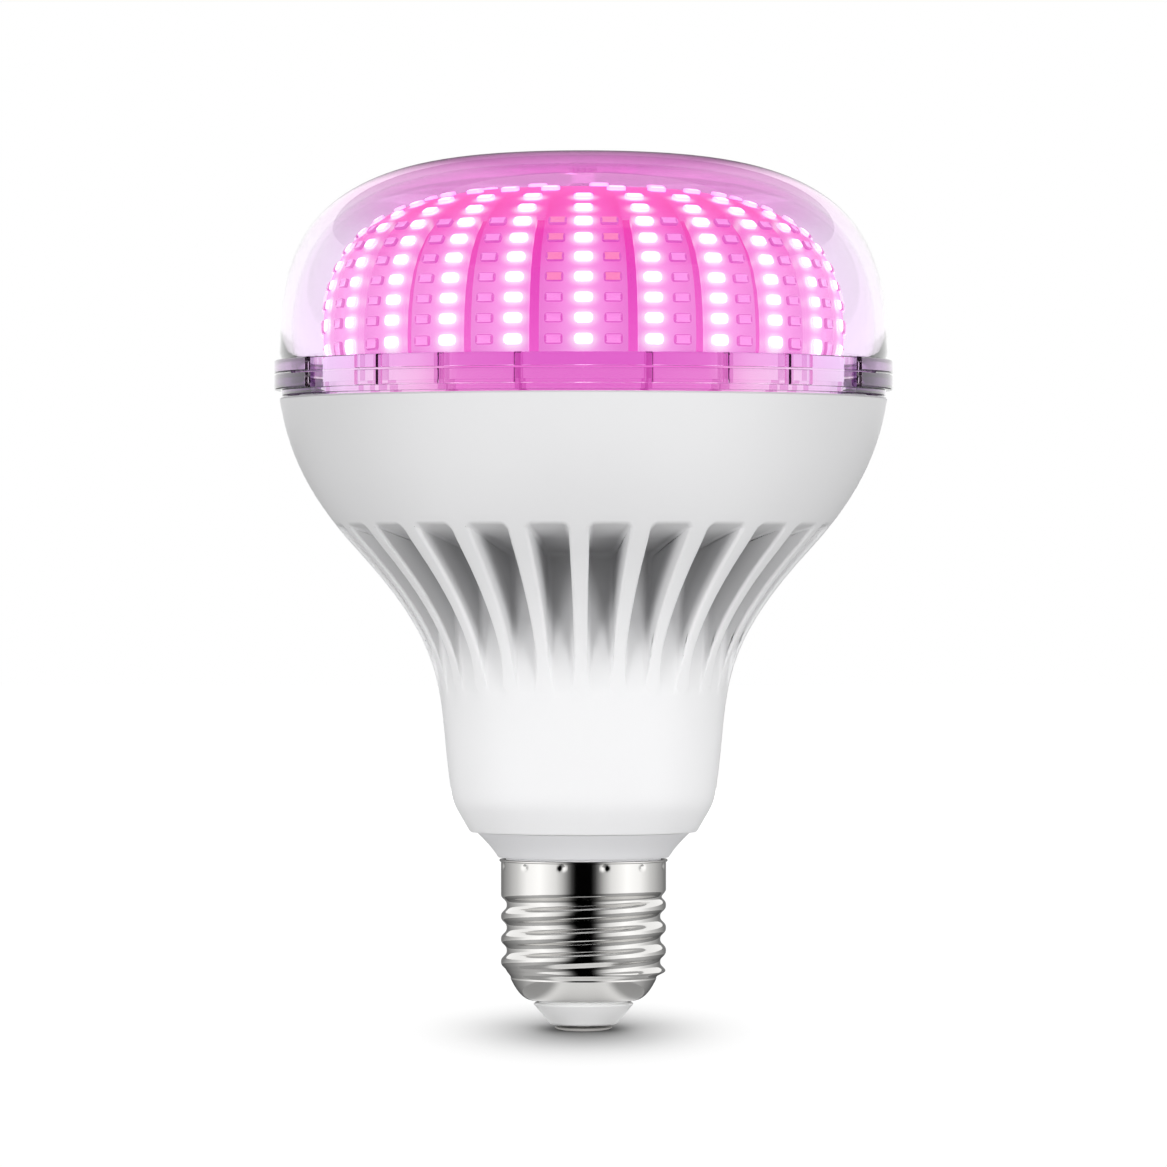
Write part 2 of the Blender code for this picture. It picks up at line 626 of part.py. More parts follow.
def thread_radius(angle, height):
    """Outside of the shell where the helical thread runs, easing into the plain band and the bead."""
    top = SHELL_TOP - SHELL_BAND_HEIGHT
    bottom = SHELL_BOTTOM + SHELL_CONE_HEIGHT
    turns = (height - SHELL_BOTTOM - THREAD_PHASE_HEIGHT) / THREAD_PITCH - angle / math.tau
    wave = (1.0 + math.cos(math.tau * turns)) / 2
    radius = THREAD_ROOT_RADIUS + (THREAD_CREST_RADIUS - THREAD_ROOT_RADIUS) * wave
    start = smooth_step((top - height) / THREAD_RUN_OUT)
    end = smooth_step((height - bottom) / THREAD_RUN_OUT)
    radius = SHELL_BAND_RADIUS + (radius - SHELL_BAND_RADIUS) * start
    return SHELL_BEAD_RADIUS + (radius - SHELL_BEAD_RADIUS) * end


def make_screw_shell():
    """The pressed metal shell. Its rings are joined upwards outside and back down inside."""
    nickel = make_material("nickel_shell", (0.74, 0.73, 0.71), 0.18, 1.0)
    thread_top = SHELL_TOP - SHELL_BAND_HEIGHT
    cone_top = SHELL_BOTTOM + SHELL_CONE_HEIGHT
    rows = round((thread_top - cone_top) / (THREAD_PITCH / 5))
    step = (thread_top - cone_top) / rows
    cone = []
    for turn in range(1, SHELL_TURN_STEPS + 1):
        angle = math.pi / 2 * turn / SHELL_TURN_STEPS
        radius = SHELL_END_RADIUS + (SHELL_BEAD_RADIUS - SHELL_END_RADIUS) * math.sin(angle)
        cone.append((radius, SHELL_BOTTOM + SHELL_TURN_HEIGHT * (1 - math.cos(angle))))
    inner_cone = [pulled(point, (-SHELL_WALL, SHELL_WALL)) for point in cone[1::2]]
    rings = [(SHELL_MOUTH_RADIUS, SHELL_BOTTOM), (SHELL_END_RADIUS, SHELL_BOTTOM)] + cone
    rings += [(None, cone_top + row * step) for row in range(rows + 1)]
    rings += [
        (SHELL_BAND_RADIUS, SHELL_TOP - SHELL_LIP_HEIGHT),
        (SHELL_LIP_RADIUS, SHELL_TOP - SHELL_LIP_HEIGHT / 2),
        (SHELL_LIP_RADIUS, SHELL_TOP),
        (SHELL_TOP_BORE, SHELL_TOP),
        (SHELL_TOP_BORE, NOSE_BOTTOM - GAP),
        (SHELL_THREAD_BORE, NOSE_BOTTOM - GAP - SHELL_WALL),
        (SHELL_THREAD_BORE, cone_top + THREAD_RUN_OUT),
    ]
    rings += inner_cone[::-1]
    rings.append((SHELL_END_RADIUS, SHELL_BOTTOM + SHELL_WALL))
    rings.append((SHELL_MOUTH_RADIUS, SHELL_BOTTOM + SHELL_WALL))

    bm = bmesh.new()
    loops = []
    for radius, height in rings:
        loop = []
        for side in range(SHELL_SIDES):
            angle = math.tau * side / SHELL_SIDES
            reach = thread_radius(angle, height) if radius is None else radius
            loop.append(bm.verts.new((reach * math.cos(angle), reach * math.sin(angle), height)))
        loops.append(loop)
    for lower, upper in zip(loops, loops[1:] + loops[:1]):
        for side in range(SHELL_SIDES):
            after = (side + 1) % SHELL_SIDES
            bm.faces.new((lower[side], lower[after], upper[after], upper[side]))
    make_object("screw_shell", bm, nickel, 50.0)


def cup_outside(height):
    return bore_radius(height) - GAP


def cup_inside(height):
    return cup_outside(height) - CUP_WALL


CUP_LEDGE = HOUSING_SHOULDER
CUP_TOP = SPREADER_BOTTOM - GAP
PCB_BOTTOM = CUP_LEDGE + GAP
PCB_LENGTH = SPREADER_BOTTOM - PCB_HEADROOM - PCB_BOTTOM
PCB_WIDTH = 2 * (cup_inside(CUP_LEDGE) - PCB_SIDE_ROOM)
PCB_FRONT = PCB_SET_BACK - PCB_THICKNESS / 2
PCB_BACK = PCB_SET_BACK + PCB_THICKNESS / 2


def make_driver_cup():
    """The inner sleeve: a nose inside the screw shell, the visible cone and a tapered cup above."""
    plastic = make_material("cup_plastic", (0.80, 0.80, 0.81), 0.5)
    bore_top = floor_height(HOUSING_BORE_TOP_RADIUS)
    neck_bore = HOUSING_BORE_FOOT_RADIUS - GAP - CUP_WALL - CUP_LEDGE_INSET
    cone_foot = (CUP_CONE_RADIUS, CONE_BOTTOM)
    cone_top = (CUP_NECK_RADIUS, HOUSING_BOTTOM - GAP)
    outline = [(NOSE_RADIUS, NOSE_BOTTOM), (NOSE_RADIUS, CONE_BOTTOM), cone_foot]
    outline += bezier(
        cone_foot,
        pulled(cone_foot, CUP_CONE_PULL),
        (cone_top[0] - CUP_NECK_PULL[0], cone_top[1] - CUP_NECK_PULL[1]),
        cone_top,
        3,
    )
    outline += [
        (CUP_NECK_RADIUS, HOUSING_LEDGE + GAP),
        (cup_outside(HOUSING_SHOULDER), HOUSING_SHOULDER + GAP),
        (cup_outside(bore_top), bore_top),
        (cup_outside(bore_top), CUP_TOP),
        (cup_inside(bore_top), CUP_TOP),
        (cup_inside(bore_top), bore_top),
        (cup_inside(CUP_LEDGE), CUP_LEDGE),
        (neck_bore, CUP_LEDGE),
        (neck_bore, HOUSING_BOTTOM),
        (NOSE_BORE, CONE_BOTTOM + CUP_WALL),
        (NOSE_BORE, NOSE_BOTTOM),
    ]
    cup = make_object("driver_cup", revolved(outline, 24), plastic)

    rails = bmesh.new()
    rail_top = PCB_BOTTOM + PCB_LENGTH - RAIL_HEADROOM
    inner_edge = PCB_WIDTH / 2 - RAIL_GRIP
    low_reach = cup_inside(CUP_LEDGE) + CUP_WALL / 4
    high_reach = cup_inside(rail_top) + CUP_WALL / 4
    for side in (-1, 1):
        for near, far in (
            (PCB_FRONT - GAP - RAIL_WIDTH, PCB_FRONT - GAP),
            (PCB_BACK + GAP, PCB_BACK + GAP + RAIL_WIDTH),
        ):
            add_box(
                rails,
                (side * inner_edge, near, CUP_LEDGE - CUP_WALL / 2),
                (side * low_reach, far, rail_top),
                top_x=(side * inner_edge, side * high_reach),
            )
    combine(cup, "board_rails", rails, "UNION")


def make_heat_spreader():
    aluminium = make_material("spreader_aluminium", (0.77, 0.78, 0.79), 0.35, 1.0)
    disc = [
        (SPREADER_WIRE_HOLE_RADIUS, SPREADER_BOTTOM),
        (SPIGOT_RADIUS, SPREADER_BOTTOM),
        (SPIGOT_RADIUS, SPREADER_TOP),
        (SPREADER_WIRE_HOLE_RADIUS, SPREADER_TOP),
    ]
    spreader = make_object("heat_spreader", revolved(disc, 32), aluminium)
    holes = bmesh.new()
    for x, y in screw_places():
        hole = (SPREADER_BOTTOM - OVERRUN, SPREADER_TOP + OVERRUN)
        add_column(holes, x, y, SCREW_HOLE_RADIUS, *hole, 8)
    combine(spreader, "spreader_screw_holes", holes, "DIFFERENCE")


def screw_mesh(head_bottom, length):
    """A pan-head screw standing on the axis."""
    tip = head_bottom - length
    outline = [
        (0.0, tip),
        (SCREW_RADIUS * SCREW_TIP_SHARE, tip),
        (SCREW_RADIUS, tip + SCREW_TIP_HEIGHT),
        (SCREW_RADIUS, head_bottom),
        (SCREW_HEAD_RADIUS, head_bottom),
        (SCREW_HEAD_RADIUS, head_bottom + SCREW_EDGE_SHARE * SCREW_HEAD_HEIGHT),
        (SCREW_CROWN_SHARE * SCREW_HEAD_RADIUS, head_bottom + SCREW_HEAD_HEIGHT),
        (0.0, head_bottom + SCREW_HEAD_HEIGHT),
    ]
    return revolved(outline, 8)


def make_spreader_screws():
    steel = make_material("zinc_screw", (0.62, 0.63, 0.66), 0.35, 1.0)
    for number, (x, y) in enumerate(screw_places(), 1):
        head_bottom = SPREADER_TOP + GAP
        screw = make_object(f"spreader_screw_{number}", screw_mesh(head_bottom, SCREW_LENGTH), steel)
        screw.location = (x, y, 0)


def board_point(radius_share, inset):
    """A point of the board's domed form at a share of its radius, moved inwards by inset."""
    rise = dome_radius(radius_share, BOARD_ROUNDNESS)
    return (
        radius_share * (BOARD_RADIUS - inset),
        BOARD_EQUATOR + rise * (BOARD_RISE - inset),
    )


def board_point_at_height(height, inset):
    """The same domed form, found by the height of its outer skin."""
    share = (height - BOARD_EQUATOR) / BOARD_RISE
    return board_point(dome_radius(share, BOARD_ROUNDNESS), inset)


def row_limits():
    """Heights between the rows of lights on the petals, from their hem up to the crown."""
    first = BOARD_HEM + ROW_FIRST_HEIGHT
    return [BOARD_HEM] + [first + (row + 0.5) * ROW_PITCH for row in range(ROW_COUNT)]


def crown_limits():
    """Radii between the rings of lights on the crown, from the petals in to the cap."""
    limits = [board_point_at_height(row_limits()[-1], 0)[0]]
    for width in CROWN_RING_WIDTHS:
        limits.append(limits[-1] - width)
    return limits


# As many pairs of columns as fit round the top of the petals, in an even number
COLUMN_PAIRS = 2 * int(math.pi * crown_limits()[0] / COLUMN_PAIR_WIDTH)


def skin_heights():
    """Heights of the petals' inner rows: the hem, a limit two thirds of the way up, and the top."""
    limits = row_limits()
    return [limits[0], limits[2 * ROW_COUNT // 3], limits[-1]]


def skin_rows(inset):
    """Rows of the board's inner skin, and of the former below it, hem first and cap last."""
    rows = [board_point_at_height(height, inset) for height in skin_heights()]
    crown = crown_limits()
    for radius in (crown[2], crown[-1]):
        rows.append(board_point(radius / BOARD_RADIUS, inset))
    return rows


def petal_facets():
    """Angles of each petal's facets. The board is the same on both sides of its front centre line."""
    pitch = 360.0 / COLUMN_PAIRS
    facet = (pitch - SLOT_DEG) / 2
    petals = [[-1.5 * facet, -0.5 * facet, 0.5 * facet, 1.5 * facet]]
    for pair in range(1, COLUMN_PAIRS // 2):
        start = pair * pitch - facet / 2
        petals.append([start, start + facet, start + 2 * facet])
    petals.append([180.0 - facet / 2, 180.0 + facet / 2])
    for petal in petals[-2:0:-1]:
        petals.append([360.0 - angle for angle in reversed(petal)])
    return petals


def add_light(bm, corners, share=0.5, between=()):
    """Raises one light out of a facet, given by its corners from lower left round to upper left.

    share is how far along the facet it stands, and between holds corners on the lower edge."""
    lower_left, lower_right, upper_right, upper_left = (corner.co for corner in corners)
    left, right = (lower_left + upper_left) / 2, (lower_right + upper_right) / 2
    margin = (LIGHT_WIDTH / 2 + LIGHT_MARGIN) / (right - left).length
    share = min(max(share, margin), 1.0 - margin)
    middle = left + (right - left) * share
    across = (lower_right - lower_left).normalized()
    up = ((upper_left + upper_right) - (lower_left + lower_right)).normalized()
    out = across.cross(up)
    foot, top = [], []
    for side, level in ((-1, -1), (1, -1), (1, 1), (-1, 1)):
        offset = across * side * LIGHT_WIDTH / 2 + up * level * LIGHT_HEIGHT / 2
        foot.append(bm.verts.new(middle + offset))
        top.append(bm.verts.new(middle + offset + out * LIGHT_RISE))
    for corner in range(4):
        after = (corner + 1) % 4
        edge = [corners[corner], *(between if corner == 0 else ()), corners[after]]
        bm.faces.new(edge + [foot[after], foot[corner]])
        bm.faces.new((foot[corner], foot[after], top[after], top[corner]))
    bm.faces.new(top)


def light_fits(corners):
    """Whether a facet is wide enough for a light across its middle."""
    lower_left, lower_right, upper_right, upper_left = (corner.co for corner in corners)
    width = ((lower_right + upper_right) - (lower_left + upper_left)).length / 2
    return width > LIGHT_WIDTH + 2 * LIGHT_MARGIN


def make_led_board():
    """The metal board: slotted petals round a crown, with every light standing on its own facet."""
    coating = make_material("light_board", (1.0, 0.30, 0.75), 0.4, emission=0.6)
    bm = bmesh.new()
    petals = petal_facets()
    outer_rows = [board_point_at_height(height, 0) for height in row_limits()]
    inner_rows = skin_rows(BOARD_THICKNESS)
    crown_rows = [board_point(radius / BOARD_RADIUS, 0) for radius in crown_limits()[1:]]
    crown_rows.append((SCREW_HOLE_RADIUS, BOARD_APEX))
    inner_rows.append((SCREW_HOLE_RADIUS, BOARD_APEX - BOARD_THICKNESS))
    hem_to_slot = len(skin_heights())

    def ring(row, angles):
        return [bm.verts.new(place(row[0], angle, row[1])) for angle in angles]

    def join(lower, upper):
        """Faces between two rings of corners, whatever the number of corners in each."""
        if len(lower) == len(upper):
            for a, b in zip(range(len(lower)), range(1, len(lower))):
                bm.faces.new((lower[a], lower[b], upper[b], upper[a]))
        else:
            bm.faces.new(list(lower) + list(reversed(upper)))

    outside, inside = [], []
    for number, petal in enumerate(petals):
        ends = (petal[0], petal[-1])
        outer = [ring(row, petal) for row in outer_rows] + [ring(row, ends) for row in crown_rows]
        inner = [ring(row, petal) for row in inner_rows]
        outside.append(outer)
        inside.append(inner)
        for lower, upper in zip(outer, outer[1:ROW_COUNT + 1]):
            for facet in range(len(petal) - 1):
                add_light(bm, (lower[facet], lower[facet + 1], upper[facet + 1], upper[facet]))
        for level, (lower, upper) in enumerate(zip(outer[ROW_COUNT:], outer[ROW_COUNT + 1:])):
            corners = (lower[0], lower[-1], upper[-1], upper[0])
            rings = len(CROWN_RING_WIDTHS)
            skipped = level == rings - 1 and number % 2
            if level < rings and not skipped and light_fits(corners):
                add_light(bm, corners, crown_share(number, level), lower[1:-1])
            else:
                join(lower, upper)
        for lower, upper in zip(inner, inner[1:]):
            join(upper, lower)
        join(inner[0], outer[0])
        join(outer[-1], inner[-1])
        left = [row[0] for row in outer[: ROW_COUNT + 1]]
        left += [row[0] for row in reversed(inner[:hem_to_slot])]
        right = [row[-1] for row in outer[: ROW_COUNT + 1]]
        right += [row[-1] for row in reversed(inner[:hem_to_slot])]
        bm.faces.new(left)
        bm.faces.new(right[::-1])

    # Between the petals, the crown runs on above each slot
    for number in range(len(petals)):
        after = (number + 1) % len(petals)
        outer = [(here[-1], beside[0]) for here, beside in zip(outside[number], outside[after])]
        inner = [(here[-1], beside[0]) for here, beside in zip(inside[number], inside[after])]
        join(inner[hem_to_slot - 1], outer[ROW_COUNT])
        for lower, upper in zip(outer[ROW_COUNT:], outer[ROW_COUNT + 1:]):
            join(lower, upper)
        for lower, upper in zip(inner[hem_to_slot - 1:], inner[hem_to_slot:]):
            join(upper, lower)
        join(outer[-1], inner[-1])
    make_object("led_board", bm, coating, 30.0)


def crown_share(number, level):
    """How far along its facet a crown light stands: over the petal's first or second column."""
    if number in (0, COLUMN_PAIRS // 2):
        return 0.5
    first_column = 0.25 if number < COLUMN_PAIRS // 2 else 0.75
    return 1.0 - first_column if level == 2 else first_column


def make_board_screw():
    steel = make_material("board_screw_steel", (0.85, 0.85, 0.86), 0.3, 1.0)
    make_object("board_screw", screw_mesh(BOARD_APEX + GAP, BOARD_SCREW_LENGTH), steel)


def make_led_former():
    """The moulded dome under the board: a foot ring, a shoulder for the petals and a screw boss."""
    plastic = make_material("former_plastic", (0.88, 0.86, 0.88), 0.5)
    outer_inset = BOARD_THICKNESS + GAP
    inner_inset = outer_inset + FORMER_WALL
    outer = skin_rows(outer_inset)
    inner = skin_rows(inner_inset)
    skirt = BOARD_RADIUS
    boss_radius = SCREW_HOLE_RADIUS + FORMER_WALL
    boss_bottom = BOARD_APEX + GAP - BOARD_SCREW_LENGTH
    outline = [
        (skirt - FORMER_WALL, FORMER_BOTTOM),
        (SPIGOT_RADIUS, FORMER_BOTTOM),
        (SPIGOT_RADIUS, FORMER_FOOT_TOP),
        (skirt, FORMER_FOOT_TOP),
        (skirt, FORMER_SHOULDER),
        (outer[0][0], FORMER_SHOULDER),
    ]
    outline += outer
    outline += [
        (SCREW_HOLE_RADIUS, BOARD_APEX - outer_inset),
        (SCREW_HOLE_RADIUS, boss_bottom),
        (boss_radius, boss_bottom),
        (boss_radius, BOARD_APEX - inner_inset),
    ]
    outline += inner[::-1]
    outline.append((skirt - FORMER_WALL, FORMER_SHOULDER - FORMER_WALL))
    former = make_object("led_former", revolved(outline, 24), plastic)
    holes = bmesh.new()
    hole = (BOARD_APEX - inner_inset - OVERRUN, BOARD_APEX)
    for side in (-1, 1):
        add_column(holes, side * FORMER_WIRE_OFFSET, 0, FORMER_WIRE_HOLE_RADIUS, *hole, 8)
    combine(former, "former_wire_holes", holes, "DIFFERENCE")


def mirrored_spans(start_deg, end_deg):
    """The same span of angles on all four quarters round the axis."""
    for turn, sign in ((0, 1), (180, -1), (180, 1), (360, -1)):
        limits = sorted((turn + sign * start_deg, turn + sign * end_deg))
        yield limits[0], limits[1]


def collar_cutters(bottom, top):
    """Narrow grooves and wide shallow recesses round one tier of the clear collar."""
    bm = bmesh.new()
    reach = COLLAR_RADIUS + OVERRUN
    bottom, top = bottom - TIER_OVERRUN, top + TIER_OVERRUN
    for angle in GROOVE_ANGLES_DEG:
        for start, end in mirrored_spans(angle - GROOVE_WIDTH_DEG / 2, angle + GROOVE_WIDTH_DEG / 2):
            add_sector(bm, COLLAR_RADIUS - GROOVE_DEPTH, reach, start, end, bottom, top, 1)
    for start, end in mirrored_spans(RECESS_START_DEG, RECESS_END_DEG):
        add_sector(bm, COLLAR_RADIUS - RECESS_DEPTH, reach, start, end, bottom, top, 3)
    return bm


def make_cover_ring():
    """The clear ring: a spigot in the housing's mouth, a neck and the lower tier of the collar."""
    clear = make_material("clear_ring_plastic", (0.93, 0.86, 0.95), 0.08, transmission=0.9)
    spigot_bore = SPIGOT_RADIUS - RING_WALL
    cover_bore = DOME_RADIUS - DOME_WALL
    step = (RING_BOTTOM + RING_TOP) / 2
    outline = [
        (spigot_bore, RING_SPIGOT_BOTTOM),
        (SPIGOT_RADIUS, RING_SPIGOT_BOTTOM),
        (SPIGOT_RADIUS, RING_BOTTOM),
        (RING_NECK_RADIUS, RING_BOTTOM),
        (RING_NECK_RADIUS, RING_COLLAR_BOTTOM),
        (COLLAR_RADIUS, RING_COLLAR_BOTTOM),
        (COLLAR_RADIUS, RING_TOP),
        (cover_bore, RING_TOP),
        (cover_bore, step),
        (spigot_bore, step),
    ]
    ring = make_object("cover_ring", revolved(outline, COLLAR_SIDES), clear)
    cutters = collar_cutters(RING_COLLAR_BOTTOM, RING_TOP)
    combine(ring, "ring_grooves", cutters, "DIFFERENCE")


def dome_skin(radius, rise, steps):
    """One skin of the cover from its foot to its apex: a rounded dome with a moulding draft."""
    points = []
    for step in range(steps + 1):
        angle = math.pi / 2 * step / steps
        height = rise * math.sin(angle) ** (2 / DOME_ROUNDNESS)
        reach = math.cos(angle) ** (2 / DOME_ROUNDNESS) if step < steps else 0.0
        points.append((reach * (radius - DOME_DRAFT * height), DOME_FOOT + height))
    return points


def make_dome_cover():
    """The clear cover: a deep rounded dome standing on the upper tier of the collar."""
    clear = make_material("clear_cover_plastic", (0.95, 0.90, 0.97), 0.05, transmission=0.95)
    bore = DOME_RADIUS - DOME_WALL
    neck = DOME_RADIUS - DOME_NECK_INSET
    outline = [
        (bore, DOME_BOTTOM),
        (COLLAR_RADIUS, DOME_BOTTOM),
        (COLLAR_RADIUS, DOME_COLLAR_TOP),
        (neck, DOME_COLLAR_TOP),
    ]
    outline += dome_skin(DOME_RADIUS, DOME_RISE, 7)
    outline += dome_skin(bore, DOME_RISE - DOME_WALL, 4)[::-1]
    dome = make_object("dome_cover", revolved(outline, COLLAR_SIDES), clear)
    cutters = collar_cutters(DOME_BOTTOM, DOME_COLLAR_TOP)
    combine(dome, "dome_grooves", cutters, "DIFFERENCE")


def make_driver_board():
    laminate = make_material("driver_board_laminate", (0.10, 0.32, 0.16), 0.5)
    bm = bmesh.new()
    half = PCB_WIDTH / 2
    add_box(bm, (-half, PCB_FRONT, PCB_BOTTOM), (half, PCB_BACK, PCB_BOTTOM + PCB_LENGTH))
    make_object("driver_board", bm, laminate)


def add_lying_bar(bm, x, height, radius, near, far, sides=12):
    """Adds a round bar that points straight out of the driver board."""
    loops = []
    for y in (near, far):
        loop = []
        for side in range(sides):
            angle = math.tau * side / sides
            loop.append(
                bm.verts.new((x + radius * math.cos(angle), y, height + radius * math.sin(angle)))
            )
        loops.append(loop)
    bm.faces.new(loops[0])
    bm.faces.new(loops[1][::-1])
    for side in range(sides):
        after = (side + 1) % sides
        bm.faces.new((loops[0][side], loops[0][after], loops[1][after], loops[1][side]))


def soften_ends(bm, width, upright=False):
    """Bevels the rims of upright round pieces, or the upright edges of blocks."""
    edges = []
    for edge in bm.edges:
        level = abs(edge.verts[0].co.z - edge.verts[1].co.z) < 0.1 * MM
        if level != upright:
            edges.append(edge)
    bmesh.ops.bevel(bm, geom=edges, offset=width, segments=1, affect="EDGES")


def make_board_components():
    """What stands on the driver board."""
    front, back = PCB_FRONT - GAP, PCB_BACK + GAP

    def spread(dims):
        """Middle, half width, lower and upper height of a block on the board."""
        across, up, width, height = dims[:4]
        bottom = PCB_BOTTOM + up * PCB_LENGTH
        return across * PCB_WIDTH, width * PCB_WIDTH / 2, bottom, bottom + height * PCB_LENGTH

    def block(name, dims, colour, roughness, near=None):
        middle, half, bottom, top = spread(dims)
        depth = dims[4]
        near = front - depth if near is None else near
        bm = bmesh.new()
        add_box(bm, (middle - half, near, bottom), (middle + half, near + depth, top))
        soften_ends(bm, BLOCK_EDGE, upright=True)
        return make_object(name, bm, make_material(name + "_case", colour, roughness))

    def upright(name, dims, side, sides, colour, roughness):
        """A round part that leans against the board's front (side -1) or back (side 1)."""
        across, up, radius, length = dims
        radius *= PCB_WIDTH
        bottom = PCB_BOTTOM + up * PCB_LENGTH
        wall = (front if side < 0 else back) + side * radius
        bm = bmesh.new()
        add_column(bm, across * PCB_WIDTH, wall, radius, bottom, bottom + length * PCB_LENGTH, sides)
        soften_ends(bm, CAN_EDGE)
        make_object(name, bm, make_material(name + "_sleeve", colour, roughness))

    upright("bulk_capacitor", BULK_CAPACITOR, -1, 16, (0.05, 0.06, 0.10), 0.4)
    upright("fusible_resistor", FUSIBLE_RESISTOR, 1, 10, (0.35, 0.45, 0.36), 0.6)
    block("film_capacitor", FILM_CAPACITOR, (0.72, 0.55, 0.10), 0.45)
    block("bridge_rectifier", BRIDGE_RECTIFIER, (0.04, 0.04, 0.04), 0.5)
    block("driver_chip", DRIVER_CHIP, (0.05, 0.05, 0.06), 0.5, back)

    core = block("transformer", TRANSFORMER, (0.09, 0.09, 0.10), 0.6)
    middle, half, bottom, top = spread(WINDING)
    winding = bmesh.new()
    low = (middle - half, front - WINDING[4], bottom)
    add_box(winding, low, (middle + half, front - OVERRUN, top))
    combine(core, "transformer_winding", winding, "UNION")

    for name, dims, colour in (
        ("output_capacitor", OUTPUT_CAPACITOR, (0.05, 0.06, 0.10)),
        ("output_inductor", OUTPUT_INDUCTOR, (0.45, 0.22, 0.08)),
    ):
        across, up, radius, depth = dims
        height = PCB_BOTTOM + up * PCB_LENGTH
        bm = bmesh.new()
        add_lying_bar(bm, across * PCB_WIDTH, height, radius * PCB_WIDTH, front - depth, front)
        make_object(name, bm, make_material(name + "_body", colour, 0.45))


def make_leads():
    """The wires between the screw cap, the driver board and the board of lights."""
    black = make_material("black_wire", (0.03, 0.03, 0.03), 0.5)
    red = make_material("red_wire", (0.55, 0.03, 0.03), 0.5)
    in_front = PCB_FRONT - GAP - WIRE_RADIUS
    stem_top = CONTACT_HEIGHT + CONTACT_STEM_LENGTH
    shell_side = SHELL_THREAD_BORE - GAP - WIRE_RADIUS
    nose_side = NOSE_BORE - 2 * GAP - WIRE_RADIUS
    joint_top = PCB_BOTTOM + WIRE_JOINT
    make_wire(
        "lead_live",
        [
            Vector((0, 0, stem_top + GAP)),
            Vector((0, 0, (stem_top + CONE_BOTTOM) / 2)),
            Vector((WIRE_SPREAD / 2, 0, CONE_BOTTOM)),
            Vector((WIRE_SPREAD, in_front, PCB_BOTTOM)),
            Vector((WIRE_SPREAD, in_front, joint_top)),
        ],
        black,
    )
    make_wire(
        "lead_neutral",
        [
            Vector((-shell_side, 0, NOSE_BOTTOM - 1.5 * NEUTRAL_TAIL)),
            Vector((-shell_side, 0, NOSE_BOTTOM - NEUTRAL_TAIL)),
            Vector((-nose_side, 0, NOSE_BOTTOM - 2 * GAP)),
            Vector((-nose_side, 0, CONE_BOTTOM)),
            Vector((-WIRE_SPREAD, in_front, PCB_BOTTOM)),
            Vector((-WIRE_SPREAD, in_front, joint_top)),
        ],
        black,
    )
    board_top = PCB_BOTTOM + PCB_LENGTH
    under_board = BOARD_APEX - BOARD_THICKNESS - GAP
    for name, side, material in (("led_lead_positive", 1, red), ("led_lead_negative", -1, black)):
        low, high = side * WIRE_SPREAD / 2, side * FORMER_WIRE_OFFSET
        make_wire(
            name,
            [
                Vector((low, in_front, board_top - WIRE_JOINT)),
                Vector((low, in_front, board_top + WIRE_JOINT)),
                Vector((low, 0, SPREADER_BOTTOM)),
                Vector((low, 0, FORMER_FOOT_TOP)),
                Vector((high, 0, BOARD_APEX - FORMER_WIRE_RISE)),
                Vector((high, 0, under_board)),
            ],
            material,
        )


for old in list(bpy.data.objects):
    bpy.data.objects.remove(old, do_unlink=True)

make_centre_contact()
make_base_insulator()
make_screw_shell()
make_driver_cup()
make_housing()
make_heat_spreader()
make_spreader_screws()
make_led_former()
make_led_board()
make_board_screw()
make_cover_ring()
make_dome_cover()
make_driver_board()
make_board_components()
make_leads()
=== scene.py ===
"""Grow light bulb: the finished look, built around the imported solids.

Metres, +Z up. The bulb stands on its contact, -Y is the front, and angles round the axis are
counted in degrees from the front towards +X.
"""

import math

import bpy
from mathutils import Matrix, Vector


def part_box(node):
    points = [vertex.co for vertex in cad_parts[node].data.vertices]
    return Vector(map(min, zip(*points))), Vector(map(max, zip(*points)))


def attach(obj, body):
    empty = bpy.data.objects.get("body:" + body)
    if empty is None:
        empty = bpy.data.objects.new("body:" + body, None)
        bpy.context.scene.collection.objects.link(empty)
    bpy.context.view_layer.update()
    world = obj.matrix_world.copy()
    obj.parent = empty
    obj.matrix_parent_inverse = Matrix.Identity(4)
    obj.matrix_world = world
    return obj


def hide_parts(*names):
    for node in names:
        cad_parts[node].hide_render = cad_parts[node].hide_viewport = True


MM = 0.001

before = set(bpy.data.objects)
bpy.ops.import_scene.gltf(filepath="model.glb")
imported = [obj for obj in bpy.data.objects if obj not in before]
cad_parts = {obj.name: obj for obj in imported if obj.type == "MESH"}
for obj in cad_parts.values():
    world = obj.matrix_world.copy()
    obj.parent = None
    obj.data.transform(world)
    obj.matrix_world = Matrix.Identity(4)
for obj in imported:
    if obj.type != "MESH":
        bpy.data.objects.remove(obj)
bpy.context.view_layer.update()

# Heights and radii that the finished pieces share with the solids
SHELL_LOW, SHELL_HIGH = (corner.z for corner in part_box("screw_shell"))
HOUSING_LOW, HOUSING_HIGH = (corner.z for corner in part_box("housing"))
RING_LOW, RING_HIGH = (corner.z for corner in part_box("cover_ring"))
DOME_LOW, DOME_HIGH = (corner.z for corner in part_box("dome_cover"))
BOARD_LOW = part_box("led_board")[0].z
CUP_LOW, CUP_HIGH = (corner.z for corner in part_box("driver_cup"))
CONTACT_LOW, CONTACT_HIGH = (corner.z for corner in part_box("centre_contact"))
INSULATOR_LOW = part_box("base_insulator")[0].z

# Housing: the first rib stands a little off the front centre line
RIB_COUNT = 25
RIB_PITCH = 360.0 / RIB_COUNT
RIB_WIDTH_DEG = 4.87
RIB_FIRST_DEG = -1.03
LIP_ROUNDING = 0.55 * MM

